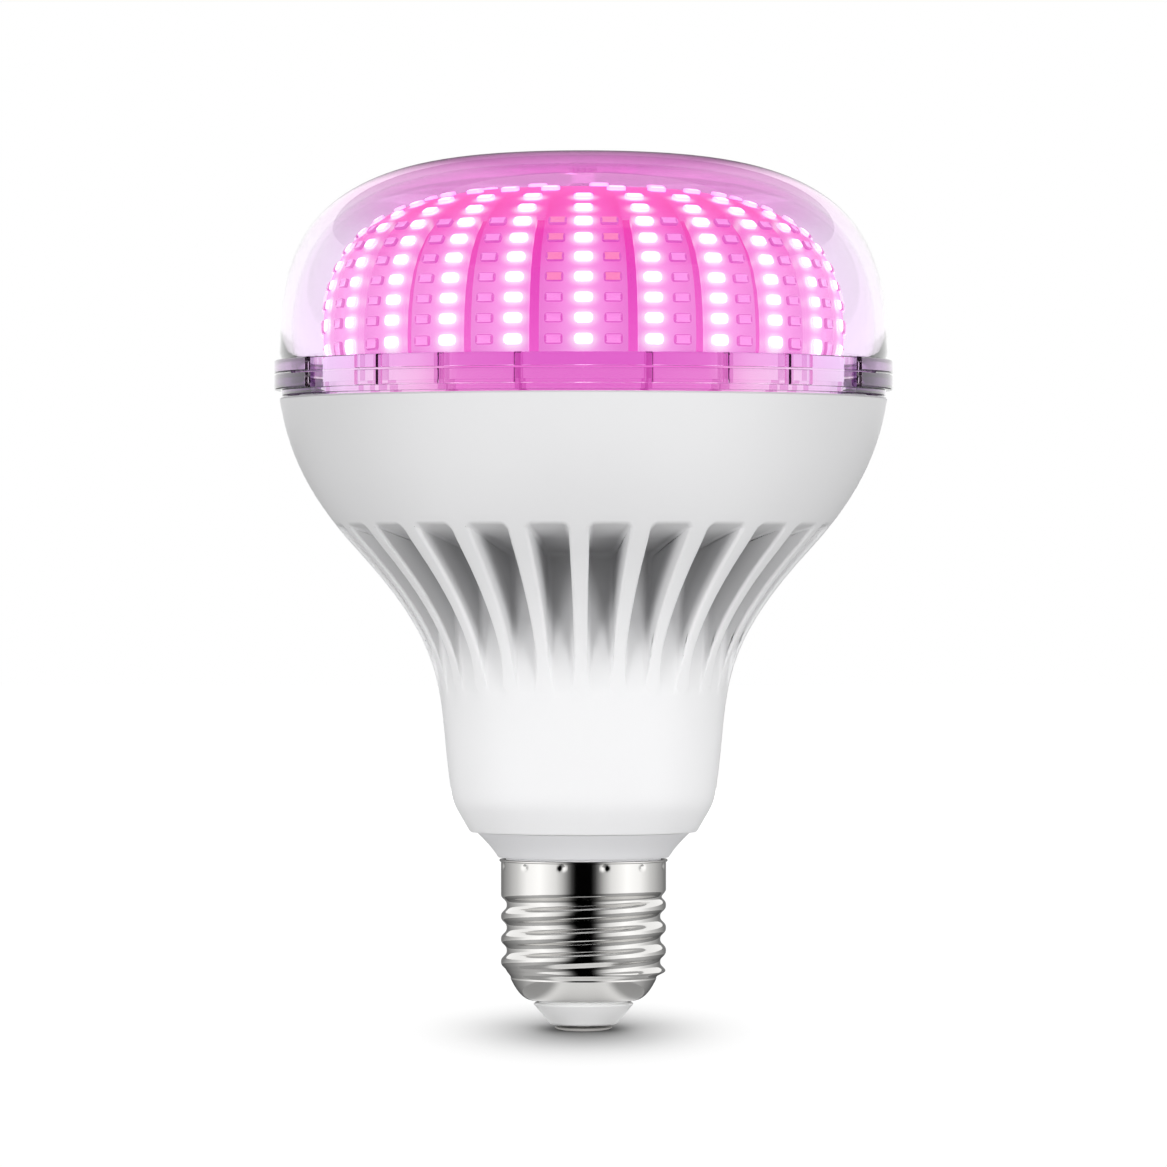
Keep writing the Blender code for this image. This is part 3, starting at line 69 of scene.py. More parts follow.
# Board of lights: 24 lit columns round it, a slot up to the seventh row between the petals
COLUMN_PITCH = 15.0
COLUMN_COUNT = 24
FACET_DEG = 6.3
SLOTTED_ROWS = 7
ROW_HEIGHTS = [BOARD_LOW + rise * MM for rise in (1.4, 4.5, 7.6, 10.75, 13.85, 16.75, 19.55, 21.45)]
BOARD_RADIUS = 41.6 * MM
BOARD_RISE = 30.0 * MM
BOARD_EQUATOR = BOARD_LOW - 2.7 * MM
BOARD_ROUNDNESS = 3.2
BOARD_THICKNESS = 1.0 * MM
CROWN_RADII = (30.1 * MM, 25.5 * MM, 18.5 * MM)
SCREW_HOLE_RADIUS = 1.7 * MM

# How far, in millimetres, the painted glow round a lit light reaches over the board
PAINTED_GLOW_ACROSS = 2.05
PAINTED_GLOW_UP = 1.25

# Screw shell: the thread fades into the plain band above it and the rolled bead below it
THREAD_PITCH = 3.62 * MM
THREAD_CREST = 13.15 * MM
THREAD_ROOT = 12.24 * MM
THREAD_PHASE = 11.55 * MM
THREAD_FOOT = SHELL_LOW + 3.65 * MM
THREAD_FADE_HIGH = 1.6 * MM
THREAD_FADE_LOW = 1.1 * MM
BEAD_RADIUS = 11.6 * MM
BAND_HEIGHT = 4.8 * MM
DIMPLE_COUNT = 12
DIMPLE_HEIGHT = 26.3 * MM
DIMPLE_DEPTH = 0.26 * MM
DIMPLE_SPREAD = 0.42 * MM

# Clear dome and ring, and the grooves and recesses round their collar
COLLAR_RADIUS = 49.33 * MM
COLLAR_TIER = 2.1 * MM
DOME_RADIUS = 48.46 * MM
DOME_WALL = 1.8 * MM
DOME_FOOT = 3.15 * MM
DOME_ROUNDNESS = 3.05
DOME_TAPER = 0.03
GROOVES_DEG = (11.8, 26.5, 40.0)
GROOVE_WIDTH_DEG = 1.2
RECESS_DEG = (46.0, 62.0)
COLLAR_RIM = (0.66, 0.45, 0.70, 1)


# Shapes


def place(radius, angle_deg, height):
    """The point at this radius and height, at an angle counted from the front towards +X."""
    angle = math.radians(angle_deg)
    return Vector((radius * math.sin(angle), -radius * math.cos(angle), height))


def smooth_step(value):
    """Eases from 0 to 1."""
    value = min(max(value, 0.0), 1.0)
    return value * value * (3.0 - 2.0 * value)


def bezier(start, pull_start, pull_end, end, steps):
    """Points of a cubic curve, without its first one."""
    points = []
    for step in range(1, steps + 1):
        t = step / steps
        weights = ((1 - t) ** 3, 3 * t * (1 - t) ** 2, 3 * t * t * (1 - t), t**3)
        corners = (start, pull_start, pull_end, end)
        points.append(tuple(sum(w * c[axis] for w, c in zip(weights, corners)) for axis in (0, 1)))
    return points


def rounded(corners, steps=4):
    """An outline whose corners with a third number are rounded off by that much."""
    points = []
    for index, corner in enumerate(corners):
        here = Vector(corner[:2])
        if len(corner) < 3:
            points.append(tuple(here))
            continue
        way_in = Vector(corners[index - 1][:2]) - here
        way_out = Vector(corners[(index + 1) % len(corners)][:2]) - here
        reach = min(corner[2], way_in.length * 0.48, way_out.length * 0.48)
        start, end = here + way_in.normalized() * reach, here + way_out.normalized() * reach
        for step in range(steps + 1):
            t = step / steps
            points.append(tuple(start * (1 - t) ** 2 + here * 2 * t * (1 - t) + end * t * t))
    return points


def deselect():
    """Leaves edit mode with nothing selected."""
    if bpy.context.object and bpy.context.object.mode != "OBJECT":
        bpy.ops.object.mode_set(mode="OBJECT")
    bpy.ops.object.select_all(action="DESELECT")


def take(piece):
    """Makes one piece the selected and active one."""
    deselect()
    piece.select_set(True)
    bpy.context.view_layer.objects.active = piece
    return piece


def named(name):
    """Names the piece that was just made."""
    piece = bpy.context.object
    piece.name = name
    piece.data.name = name
    return piece


def outline(name, points, angle_deg=0.0):
    """A closed ring of corners, moved to (radius, height) points in the plane at this angle."""
    deselect()
    bpy.ops.mesh.primitive_circle_add(vertices=len(points), radius=10 * MM)
    piece = named(name)
    for vertex, (radius, height) in zip(piece.data.vertices, points):
        vertex.co = place(radius, angle_deg, height)
    return piece


def clean(piece, smooth_deg=32.0):
    """Merges doubled corners, turns the faces outwards and shades the piece."""
    take(piece)
    bpy.ops.object.mode_set(mode="EDIT")
    bpy.ops.mesh.select_all(action="SELECT")
    bpy.ops.mesh.remove_doubles(threshold=0.002 * MM)
    bpy.ops.mesh.delete_loose(use_faces=False)
    bpy.ops.mesh.select_all(action="SELECT")
    bpy.ops.mesh.normals_make_consistent(inside=False)
    bpy.ops.object.mode_set(mode="OBJECT")
    bpy.ops.object.shade_smooth_by_angle(angle=math.radians(smooth_deg))
    return piece


def turned(name, points, steps, smooth_deg=32.0, start_deg=0.0):
    """Spins an outline once round the axis."""
    piece = outline(name, points, start_deg)
    bpy.ops.object.mode_set(mode="EDIT")
    bpy.ops.mesh.select_all(action="SELECT")
    bpy.ops.mesh.spin(steps=steps, angle=math.tau, center=(0, 0, 0), axis=(0, 0, 1))
    bpy.ops.object.mode_set(mode="OBJECT")
    return clean(piece, smooth_deg)


def wedge(name, points, start_deg, end_deg, steps):
    """Spins an outline through part of a turn and closes both of its ends."""
    piece = outline(name, points, end_deg)
    bpy.ops.object.mode_set(mode="EDIT")
    bpy.ops.mesh.select_all(action="SELECT")
    turn = math.radians(end_deg - start_deg)
    bpy.ops.mesh.spin(steps=steps, angle=turn, center=(0, 0, 0), axis=(0, 0, 1))
    bpy.ops.mesh.select_all(action="DESELECT")
    bpy.ops.mesh.select_mode(type="EDGE")
    bpy.ops.mesh.select_non_manifold()
    bpy.ops.mesh.edge_face_add()
    bpy.ops.mesh.select_all(action="SELECT")
    bpy.ops.mesh.normals_make_consistent(inside=False)
    bpy.ops.object.mode_set(mode="OBJECT")
    return piece


def apply_modifier(piece, kind, **settings):
    """Adds a modifier with these settings and applies it."""
    take(piece)
    modifier = piece.modifiers.new(kind.title(), kind)
    for setting, value in settings.items():
        setattr(modifier, setting, value)
    bpy.ops.object.modifier_apply(modifier=modifier.name)


def join(pieces, name):
    """Makes several pieces one mesh."""
    deselect()
    for piece in pieces:
        piece.select_set(True)
    bpy.context.view_layer.objects.active = pieces[0]
    bpy.ops.object.join()
    return named(name)


def copies(piece, places):
    """Copies of a piece, each with its own mesh moved to its place, and the first one removed."""
    made = []
    for number, matrix in enumerate(places):
        mesh = piece.data.copy()
        mesh.transform(matrix)
        copy = bpy.data.objects.new(f"{piece.name}_{number}", mesh)
        bpy.context.scene.collection.objects.link(copy)
        made.append(copy)
    bpy.data.objects.remove(piece, do_unlink=True)
    return made


def cut(piece, cutter):
    """Cuts a shape out of a piece and removes the cutter."""
    apply_modifier(piece, "BOOLEAN", operation="DIFFERENCE", solver="EXACT", object=cutter)
    bpy.data.objects.remove(cutter, do_unlink=True)


# Materials


def linear(red, green, blue):
    """A colour given by its 0 to 255 screen values."""
    values = [channel / 255 for channel in (red, green, blue)]
    return tuple(v / 12.92 if v <= 0.04045 else ((v + 0.055) / 1.055) ** 2.4 for v in values) + (1.0,)


def feed(tree, node, inputs):
    """Gives a node's inputs their values: numbers, colours or the outputs of other nodes."""
    for key, value in inputs.items():
        if isinstance(value, bpy.types.NodeSocket):
            tree.links.new(value, node.inputs[key])
        else:
            node.inputs[key].default_value = value


def add_node(tree, kind, inputs, **settings):
    """A new node with these settings and inputs."""
    node = tree.nodes.new("ShaderNode" + kind)
    for setting, value in settings.items():
        setattr(node, setting, value)
    feed(tree, node, inputs)
    return node


def maths(tree, operation, *values):
    """The outcome of an operation on numbers or sockets."""
    return add_node(tree, "Math", dict(enumerate(values)), operation=operation).outputs["Value"]


def squared(tree, value):
    """A value times itself."""
    return maths(tree, "MULTIPLY", value, value)


def multiplied(tree, colour, other):
    """A colour or point multiplied by another, channel by channel."""
    return add_node(tree, "VectorMath", {0: colour, 1: other}, operation="MULTIPLY").outputs["Vector"]


def length(tree, point):
    """How far a point lies from the origin."""
    return add_node(tree, "VectorMath", {0: point}, operation="LENGTH").outputs["Value"]


def bell(tree, spread, falloff):
    """A soft hill that falls off as a distance grows: e to the power of minus the two multiplied."""
    return maths(tree, "POWER", math.e, maths(tree, "MULTIPLY", spread, -falloff))


def eased(tree, value, low, high, top=1.0):
    """0 below low, top above high and a soft step between them."""
    values = {"Value": value, "From Min": low, "From Max": high, "To Max": top}
    return add_node(tree, "MapRange", values, interpolation_type="SMOOTHSTEP").outputs["Result"]


def own_point(tree):
    """A point in the piece's own coordinates."""
    return add_node(tree, "TexCoord", {}).outputs["Object"]


def object_axes(tree):
    """X, Y and Z of a point in the piece's own coordinates."""
    return add_node(tree, "SeparateXYZ", {"Vector": own_point(tree)}).outputs


def map_axes(tree, layer):
    """X and Y of a point in one of the piece's own maps."""
    spot = add_node(tree, "UVMap", {}, uv_map=layer).outputs["UV"]
    return add_node(tree, "SeparateXYZ", {"Vector": spot}).outputs


def ray_kind(tree, name):
    """1 for rays of this kind and 0 for all others."""
    return add_node(tree, "LightPath", {}).outputs[name]


def surface_group():
    """Slow and fine changes of colour, roughness and height over a moulded or metal surface."""
    group = bpy.data.node_groups.new("surface_variation", "ShaderNodeTree")
    for name, kind, value in (
        ("Colour", "Color", (0.8, 0.8, 0.8, 1.0)),
        ("Colour spread", "Float", 0.03),
        ("Roughness", "Float", 0.4),
        ("Roughness spread", "Float", 0.05),
        ("Grain per metre", "Float", 2500.0),
        ("Stretch", "Float", 1.0),
    ):
        socket = group.interface.new_socket(name, in_out="INPUT", socket_type="NodeSocket" + kind)
        socket.default_value = value
    for name, kind in (("Colour", "Color"), ("Roughness", "Float"), ("Height", "Float")):
        group.interface.new_socket(name, in_out="OUTPUT", socket_type="NodeSocket" + kind)
    given = group.nodes.new("NodeGroupInput").outputs
    spot = own_point(group)
    scale = add_node(group, "CombineXYZ", {"X": 1.0, "Y": 1.0, "Z": given["Stretch"]})
    spot_on_grain = multiplied(group, spot, scale.outputs["Vector"])
    grain = {"Vector": spot_on_grain, "Scale": given["Grain per metre"], "Detail": 3.0}
    fine = add_node(group, "TexNoise", grain).outputs["Fac"]
    slow = add_node(group, "TexNoise", {"Vector": spot, "Scale": 60.0, "Detail": 2.0}).outputs["Fac"]
    down = maths(group, "SUBTRACT", 1.0, given["Colour spread"])
    shade = add_node(group, "MapRange", {"Value": slow, "To Min": down, "To Max": 1.0}).outputs["Result"]
    colour = add_node(group, "VectorMath", {0: given["Colour"], "Scale": shade}, operation="SCALE")
    spread = maths(group, "MULTIPLY", maths(group, "SUBTRACT", fine, 0.5), given["Roughness spread"])
    rough = maths(group, "ADD", spread, given["Roughness"])
    result = group.nodes.new("NodeGroupOutput")
    feed(group, result, {"Colour": colour.outputs["Vector"], "Roughness": rough, "Height": fine})
    return group


SURFACE = surface_group()


def surface_node(tree, colour, spread, roughness, roughness_spread, grain, stretch=1.0):
    """The surface group placed in a material with its own values."""
    values = {
        "Colour": colour,
        "Colour spread": spread,
        "Roughness": roughness,
        "Roughness spread": roughness_spread,
        "Grain per metre": grain,
        "Stretch": stretch,
    }
    return add_node(tree, "Group", values, node_tree=SURFACE, name="surface").outputs


def new_material(name):
    """An empty material, its nodes and its surface shader."""
    made = bpy.data.materials.new(name)
    made.use_nodes = True
    return made, made.node_tree, made.node_tree.nodes["Principled BSDF"]


def material(name, colour, roughness, metallic=0.0, grain=2500.0, spread=0.03, relief=0.02, stretch=1.0):
    """A finish with its own grain: relief is the height of the grain in millimetres."""
    made, tree, shader = new_material(name)
    surface = surface_node(tree, colour, spread, roughness, 0.3 * roughness, grain, stretch)
    grains = {"Strength": 1.0, "Distance": relief * MM, "Height": surface["Height"]}
    bump = add_node(tree, "Bump", grains)
    feed(tree, shader, {"Base Color": surface["Colour"], "Roughness": surface["Roughness"]})
    feed(tree, shader, {"Metallic": metallic, "Normal": bump.outputs["Normal"]})
    return made


def light_up(made, colour, strength):
    """Makes a finish glow in this colour."""
    shader = made.node_tree.nodes["Principled BSDF"]
    feed(made.node_tree, shader, {"Emission Color": colour, "Emission Strength": strength})


def ramp(tree, value, low, high, stops, steps=False):
    """Colours along a value from low to high: stops are (share, colour)."""
    spread = add_node(tree, "MapRange", {"Value": value, "From Min": low, "From Max": high})
    colours = add_node(tree, "ValToRGB", {"Fac": spread.outputs["Result"]})
    colours.color_ramp.interpolation = "CONSTANT" if steps else "LINEAR"
    band = colours.color_ramp.elements
    while len(band) < len(stops):
        band.new(1.0)
    for element, (share, colour) in zip(band, stops):
        element.position = share
        element.color = colour
    return colours.outputs["Color"]


def blend(tree, factor, first, second):
    """A mix of two colours, each a socket or a plain colour."""
    inputs = {"Factor": factor, "A": first, "B": second}
    return add_node(tree, "Mix", inputs, data_type="RGBA").outputs["Result"]


def clear_plastic(name, tint, roughness, edge, shades):
    """Clear moulded plastic: darker where it is seen edge on, with a light shadow.

    edge is the colour seen edge on, or a function that makes it. shades is a function that makes
    a tint that changes over the piece."""
    made, tree, shader = new_material(name)
    surface = surface_node(tree, tint, 0.01, roughness, roughness, 400.0)
    colour = multiplied(tree, surface["Colour"], shades(tree))
    facing = add_node(tree, "LayerWeight", {"Blend": 0.5}).outputs["Facing"]
    rim = edge if isinstance(edge, tuple) else edge(tree)
    colour = blend(tree, eased(tree, facing, 0.9, 1.0), colour, rim)
    feed(tree, shader, {"Base Color": colour, "Roughness": surface["Roughness"]})
    feed(tree, shader, {"Transmission Weight": 1.0, "IOR": 1.46})
    through = add_node(tree, "BsdfTransparent", {"Color": (0.96, 0.92, 0.97, 1.0)}).outputs["BSDF"]
    inputs = {"Fac": ray_kind(tree, "Is Shadow Ray"), 1: shader.outputs["BSDF"], 2: through}
    mix = add_node(tree, "MixShader", inputs)
    feed(tree, tree.nodes["Material Output"], {"Surface": mix.outputs["Shader"]})
    return made


def turn_angle(tree):
    """Degrees round the axis from the front or the back centre line, from 0 to 90."""
    spot = object_axes(tree)
    across, along = (maths(tree, "ABSOLUTE", spot[axis]) for axis in "XY")
    angle = maths(tree, "ARCTAN2", across, along)
    return maths(tree, "MULTIPLY", angle, 180.0 / math.pi)


def dome_tint_with_painted_light_and_shade(tree):
    """The cover's tint: clear sides, a painted pink reflection of the lights' glow in the cap over them,
    and its collar's spans with their painted shade.
    """
    clear, pink = (1, 1, 1, 1), (0.98, 0.38, 0.82, 1)
    stops = [(0.0, clear), (0.45, (0.98, 0.84, 0.95, 1)), (1.0, pink)]
    # Painted reflection: the cap is tinted pink for the glow of the lights inside it
    cap = ramp(tree, object_axes(tree)["Z"], DOME_HIGH - 14 * MM, DOME_HIGH - 3 * MM, stops)
    collar = collar_tint_with_painted_shade(tree, (0.94, 0.80, 0.93, 1), (0.39, 0.25, 0.43, 1))
    return blend(tree, on_dome_collar(tree), cap, collar)


def dome_rim(tree):
    """Dark purple where the dome is seen edge on, and lighter on its collar."""
    return blend(tree, on_dome_collar(tree), (0.30, 0.18, 0.36, 1), COLLAR_RIM)


def on_dome_collar(tree):
    """1 on the dome's tier of the collar and 0 above it."""
    return maths(tree, "LESS_THAN", object_axes(tree)["Z"], DOME_LOW + COLLAR_TIER + 0.1 * MM)


def ring_tint_with_painted_shade(tree):
    """The ring's tint, a little clearer than the dome's collar between its lugs, which are darker with
    painted shade.
    """
    return collar_tint_with_painted_shade(tree, (0.98, 0.98, 0.98, 1), (0.10, 0.03, 0.14, 1))


def collar_tint_with_painted_shade(tree, span, lug):
    """The collar's tint: lilac spans, with painted shade in darker bars at the grooves and in
    grey-purple lugs.
    """
    # Painted shade: the bars at the grooves and the lugs are darker where the collar looks into shade
    bar, recess = (0.72, 0.36, 0.66, 1), (0.96, 0.90, 0.97, 1)
    spans = [(0.0, span)]
    for angle, width in zip(GROOVES_DEG, (0.7, 1.1, 1.0)):
        spans += [(angle - width, bar), (angle + width, span)]
    spans += [(44.8, bar), (46.4, recess), (59.0, bar), (60.2, recess), (RECESS_DEG[1], lug)]
    stops = [(angle / 90, colour) for angle, colour in spans]
    return ramp(tree, turn_angle(tree), 0.0, 90.0, stops, steps=True)


def finish_piece(piece, look, slot, *nodes):
    """Gives a piece its look, lets it ride on the bulb and stand for its solids."""
    piece.data.materials.clear()
    piece.data.materials.append(look)
    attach(piece, "root")
    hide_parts(*nodes)


# Housing

HOUSING_FLARE = (36.0 * MM, HOUSING_HIGH - 24.25 * MM)
HOUSING_NECK = (21.15 * MM, HOUSING_LOW + 6.85 * MM)
HOUSING_TURN = (20.1 * MM, HOUSING_LOW + 3.5 * MM)
HOUSING_RIM_RADIUS = 48.4 * MM
CHANNEL_TOP = HOUSING_HIGH - 20.25 * MM
CHANNEL_TAIL = HOUSING_HIGH - 46.75 * MM
CORE_TOP_RADIUS = 24.7 * MM
ROOF_SLOPE = math.tan(math.radians(17.0))


def housing_outline():
    """The outside of the moulding from its rim down: bowl, waist and the turn at its foot."""
    flare, neck, turn = HOUSING_FLARE, HOUSING_NECK, HOUSING_TURN
    rim = (HOUSING_RIM_RADIUS, HOUSING_HIGH)
    points = [rim]
    points += bezier(
        rim,
        (rim[0] - 1.23 * MM, rim[1] - 8.9 * MM),
        (flare[0] + 0.92 * 8.06 * MM, flare[1] + 8.06 * MM),
        flare,
        14,
    )
    points += bezier(
        flare,
        (flare[0] - 0.92 * 16.8 * MM, flare[1] - 16.8 * MM),
        (neck[0] + 2.28 * MM, neck[1] + 15.1 * MM),
        neck,
        20,
    )
    points += bezier(
        neck,
        (neck[0] - 0.2 * MM, neck[1] - 1.4 * MM),
        (turn[0] + 0.6 * MM, turn[1] + 1.1 * MM),
        turn,
        5,
    )
    return points


HOUSING_OUTLINE = housing_outline()


def housing_radius(height):
    """The outside radius of the moulding at this height."""
    for (upper_radius, upper), (lower_radius, lower) in zip(HOUSING_OUTLINE, HOUSING_OUTLINE[1:]):
        if lower <= height <= upper:
            share = (height - lower) / (upper - lower)
            return lower_radius + share * (upper_radius - lower_radius)
    return HOUSING_RIM_RADIUS


def roof_height(radius):
    """Height of the channels' sloping roof at this radius."""
    return CHANNEL_TOP - (housing_radius(CHANNEL_TOP) - radius) * ROOF_SLOPE


def make_housing():
    """The flared moulding: a spun shell with a rounded channel cut between every two ribs."""
    floor = [(radius, roof_height(radius) + 2.1 * MM) for radius in (22.4 * MM, 33.3 * MM)]
    wall = [
        (radius - 1.9 * MM, height)
        for radius, height in HOUSING_OUTLINE[3:14:2]
        if height > floor[1][1] + 1.5 * MM
    ]
    seat = HOUSING_HIGH - 5.05 * MM
    foot_bore, seat_bore, mouth_bore = 16.9 * MM, 43.5 * MM, 45.9 * MM
    inside = [
        (foot_bore, HOUSING_LOW),
        (foot_bore, HOUSING_LOW + 1.4 * MM),
        (19.4 * MM, HOUSING_LOW + 5.3 * MM),
        *floor,
        *wall[::-1],
        (seat_bore, seat - 1.2 * MM),
        (seat_bore, seat),
        (mouth_bore, seat),
        (mouth_bore, HOUSING_HIGH),
    ]
    foot = [(18.2 * MM, HOUSING_LOW + 0.25 * MM), (17.95 * MM, HOUSING_LOW)]
    rim = [(HOUSING_RIM_RADIUS - 0.25 * MM, HOUSING_HIGH), (HOUSING_RIM_RADIUS, HOUSING_HIGH - 0.3 * MM)]
    points = rim + HOUSING_OUTLINE[1:] + foot + inside
    housing = turned("housing_moulding", points, 3 * RIB_COUNT, start_deg=RIB_FIRST_DEG)

    tail_radius = housing_radius(CHANNEL_TAIL)
    core_top = roof_height(CORE_TOP_RADIUS)
    taper = (CORE_TOP_RADIUS - tail_radius) / (core_top - CHANNEL_TAIL)
    reach = 44.0 * MM
    low = CHANNEL_TAIL - 3.0 * MM
    channel = [
        (tail_radius - taper * 3.0 * MM, low),
        (CORE_TOP_RADIUS, core_top, 1.2 * MM),
        (reach, roof_height(reach)),
        (reach, low),
    ]
    start = RIB_FIRST_DEG + RIB_WIDTH_DEG / 2
    end = start + RIB_PITCH - RIB_WIDTH_DEG
    cutter = wedge("channel", rounded(channel), start, end, 1)
    round_channel(cutter, start, end, low, reach)
    turns = [Matrix.Rotation(math.radians(RIB_PITCH * rib), 4, "Z") for rib in range(RIB_COUNT)]
    cut(housing, join(copies(cutter, turns), "channels"))

    weigh_lips(housing, tail_radius, taper)
    apply_modifier(
        housing,
        "BEVEL",
        limit_method="WEIGHT",
        width=LIP_ROUNDING,
        segments=3,
        use_clamp_overlap=False,
    )
    clean(housing, 34.0)
    apply_modifier(housing, "WEIGHTED_NORMAL", keep_sharp=True, weight=90)
    add_depth_map(housing)
    finish_piece(housing, housing_plastic_with_painted_shade(), "white_housing_plastic", "housing")


def weigh_lips(housing, tail_radius, taper):
    """Marks the channels' lips for rounding, less so where they fade out at the tail."""
    mesh = housing.data
    mesh.update()
    weight = mesh.attributes.new("bevel_weight_edge", "FLOAT", "EDGE")
    normals = {}
    for face in mesh.polygons:
        for key in face.edge_keys:
            normals.setdefault(key, []).append(face.normal)
    for edge in mesh.edges:
        sides = normals.get(tuple(sorted(edge.vertices)), ())
        first, second = (mesh.vertices[index].co for index in edge.vertices)
        middle = (first + second) / 2
        on_skin = all(abs(end.xy.length - housing_radius(end.z)) < 0.12 * MM for end in (first, second))
        if len(sides) == 2 and sides[0].angle(sides[1]) > math.radians(28) and on_skin:
            if CHANNEL_TAIL - 1 * MM < middle.z < CHANNEL_TOP + 1 * MM:
                core = tail_radius + taper * (middle.z - CHANNEL_TAIL)
                depth = middle.xy.length - core
                weight.data[edge.index].value = min(max(depth / (1.6 * MM), 0.04), 1.0)


def add_depth_map(housing):
    """Lays out, in centimetres, how deep each point lies in a channel, for the painted shade."""
    mesh = housing.data
    layer = mesh.uv_layers.new(name="depth")
    for loop, corner in zip(layer.data, mesh.loops):
        spot = mesh.vertices[corner.vertex_index].co
        in_channel = CHANNEL_TAIL - 1 * MM < spot.z < CHANNEL_TOP + 0.5 * MM
        depth = housing_radius(spot.z) - spot.xy.length if in_channel else 0.0
        loop.uv = (0.0, max(depth, 0.0) * 100)


def housing_plastic_with_painted_shade():
    """Satin white plastic, with painted shade that makes it greyer deeper down in the channels."""
    made = material("white_moulded_plastic", linear(232, 232, 233), 0.42, grain=5200, relief=0.004)
    tree = made.node_tree
    # Painted shade: darker with depth in a channel, where its walls and roof shade it
    stops = [(0.0, (1, 1, 1, 1)), (0.25, (0.9, 0.9, 0.9, 1)), (0.7, (0.57, 0.57, 0.575, 1))]
    tint = ramp(tree, map_axes(tree, "depth")["Y"], 0.02, 0.8, stops)
    colour = multiplied(tree, tree.nodes["surface"].outputs["Colour"], tint)
    feed(tree, tree.nodes["Principled BSDF"], {"Base Color": colour})
    return made


def in_plane(point, angle_deg):
    """Whether a point lies in the upright plane at this angle."""
    side = place(1.0, angle_deg, 0)
    return abs(point.x * side.y - point.y * side.x) < 0.01 * MM


def round_channel(cutter, start_deg, end_deg, low, reach):
    """Rounds the channel's inner corners, where its walls meet the roof and the core."""
    take(cutter)
    for item in (*cutter.data.vertices, *cutter.data.edges, *cutter.data.polygons):
        item.select = False
    for edge in cutter.data.edges:
        ends = [cutter.data.vertices[index].co for index in edge.vertices]
        middle = (ends[0] + ends[1]) / 2
        for angle in (start_deg, end_deg):
            on_wall = all(in_plane(end, angle) for end in ends)
            if on_wall and middle.xy.length < reach - 0.1 * MM and middle.z > low + 0.1 * MM:
                edge.select = True
    bpy.ops.object.mode_set(mode="EDIT")
    bpy.ops.mesh.select_mode(type="EDGE")
    bpy.ops.mesh.bevel(offset=0.75 * MM, segments=3)
    bpy.ops.object.mode_set(mode="OBJECT")


# Screw cap


def make_driver_cup():
    """The inner sleeve, whose cone shows above the screw shell and widens towards the housing."""
    cone_low = SHELL_HIGH + 0.3 * MM
    top = HOUSING_LOW - 0.08 * MM
    cone = bezier(
        (13.7 * MM, cone_low + 0.15 * MM),
        (14.4 * MM, cone_low + 1.35 * MM),
        (15.8 * MM, top - 1.15 * MM),
        (17.0 * MM, top),
        10,
    )
    nose, nose_bore = 12.35 * MM, 10.85 * MM
    neck, neck_bore = 16.6 * MM, 14.5 * MM
    cup_radius, cup_bore, cup_shoulder = 22.1 * MM, 20.7 * MM, 77.5 * MM
    points = [
        (nose, CUP_LOW),
        (nose, cone_low),
        (13.55 * MM, cone_low),
        (13.7 * MM, cone_low + 0.15 * MM),
        *cone,
        (neck, top),
        (neck, HOUSING_LOW + 1.7 * MM),
        (19.1 * MM, HOUSING_LOW + 5.6 * MM),
        (cup_radius, cup_shoulder),
        (cup_radius, CUP_HIGH),
        (cup_bore, CUP_HIGH),
        (cup_bore, cup_shoulder),
        (17.7 * MM, HOUSING_LOW + 5.3 * MM),
        (neck_bore, HOUSING_LOW + 5.3 * MM),
        (neck_bore, HOUSING_LOW),
        (nose_bore, cone_low + 1.4 * MM),
        (nose_bore, CUP_LOW),
    ]
    cup = turned("driver_cup_sleeve", points, 96)
    plastic = material("greyer_cup_plastic", linear(222, 222, 224), 0.45, grain=5200, relief=0.004)
    finish_piece(cup, plastic, "cup_plastic", "driver_cup")


def thread_radius(angle, height):
    """The shell's outside radius: a right-handed wave that fades out at both ends."""
    top = SHELL_HIGH - BAND_HEIGHT
    turns = (height - SHELL_LOW - THREAD_PHASE) / THREAD_PITCH - angle / math.tau
    wave = (1.0 + math.cos(math.tau * turns)) / 2
    wave = (wave + 2 * smooth_step(wave)) / 3
    radius = THREAD_ROOT + (THREAD_CREST - THREAD_ROOT) * wave
    start = smooth_step((top - height) / THREAD_FADE_HIGH)
    end = smooth_step((height - THREAD_FOOT) / THREAD_FADE_LOW)
    radius = THREAD_CREST + (radius - THREAD_CREST) * start
    return BEAD_RADIUS + (radius - BEAD_RADIUS) * end


def roll_thread(shell, top):
    """Draws the shell's plain skin in to the wave of the thread and to the dimples in its band."""
    pitch = 360.0 / DIMPLE_COUNT
    for vertex in shell.data.vertices:
        spot = vertex.co
        radius = spot.xy.length
        in_skin = THREAD_FOOT - 0.1 * MM < spot.z < top + 0.01 * MM
        if abs(radius - THREAD_CREST) > 0.02 * MM or not in_skin:
            continue
        reach = thread_radius(math.atan2(spot.y, spot.x), spot.z)
        front = math.degrees(math.atan2(spot.x, -spot.y))
        steps = (front - pitch / 2) / pitch
        aside = (steps - round(steps)) * pitch
        away = math.hypot(math.radians(aside) * radius, spot.z - DIMPLE_HEIGHT)
        reach -= DIMPLE_DEPTH * math.exp(-((away / DIMPLE_SPREAD) ** 3))
        spot.x *= reach / radius
        spot.y *= reach / radius


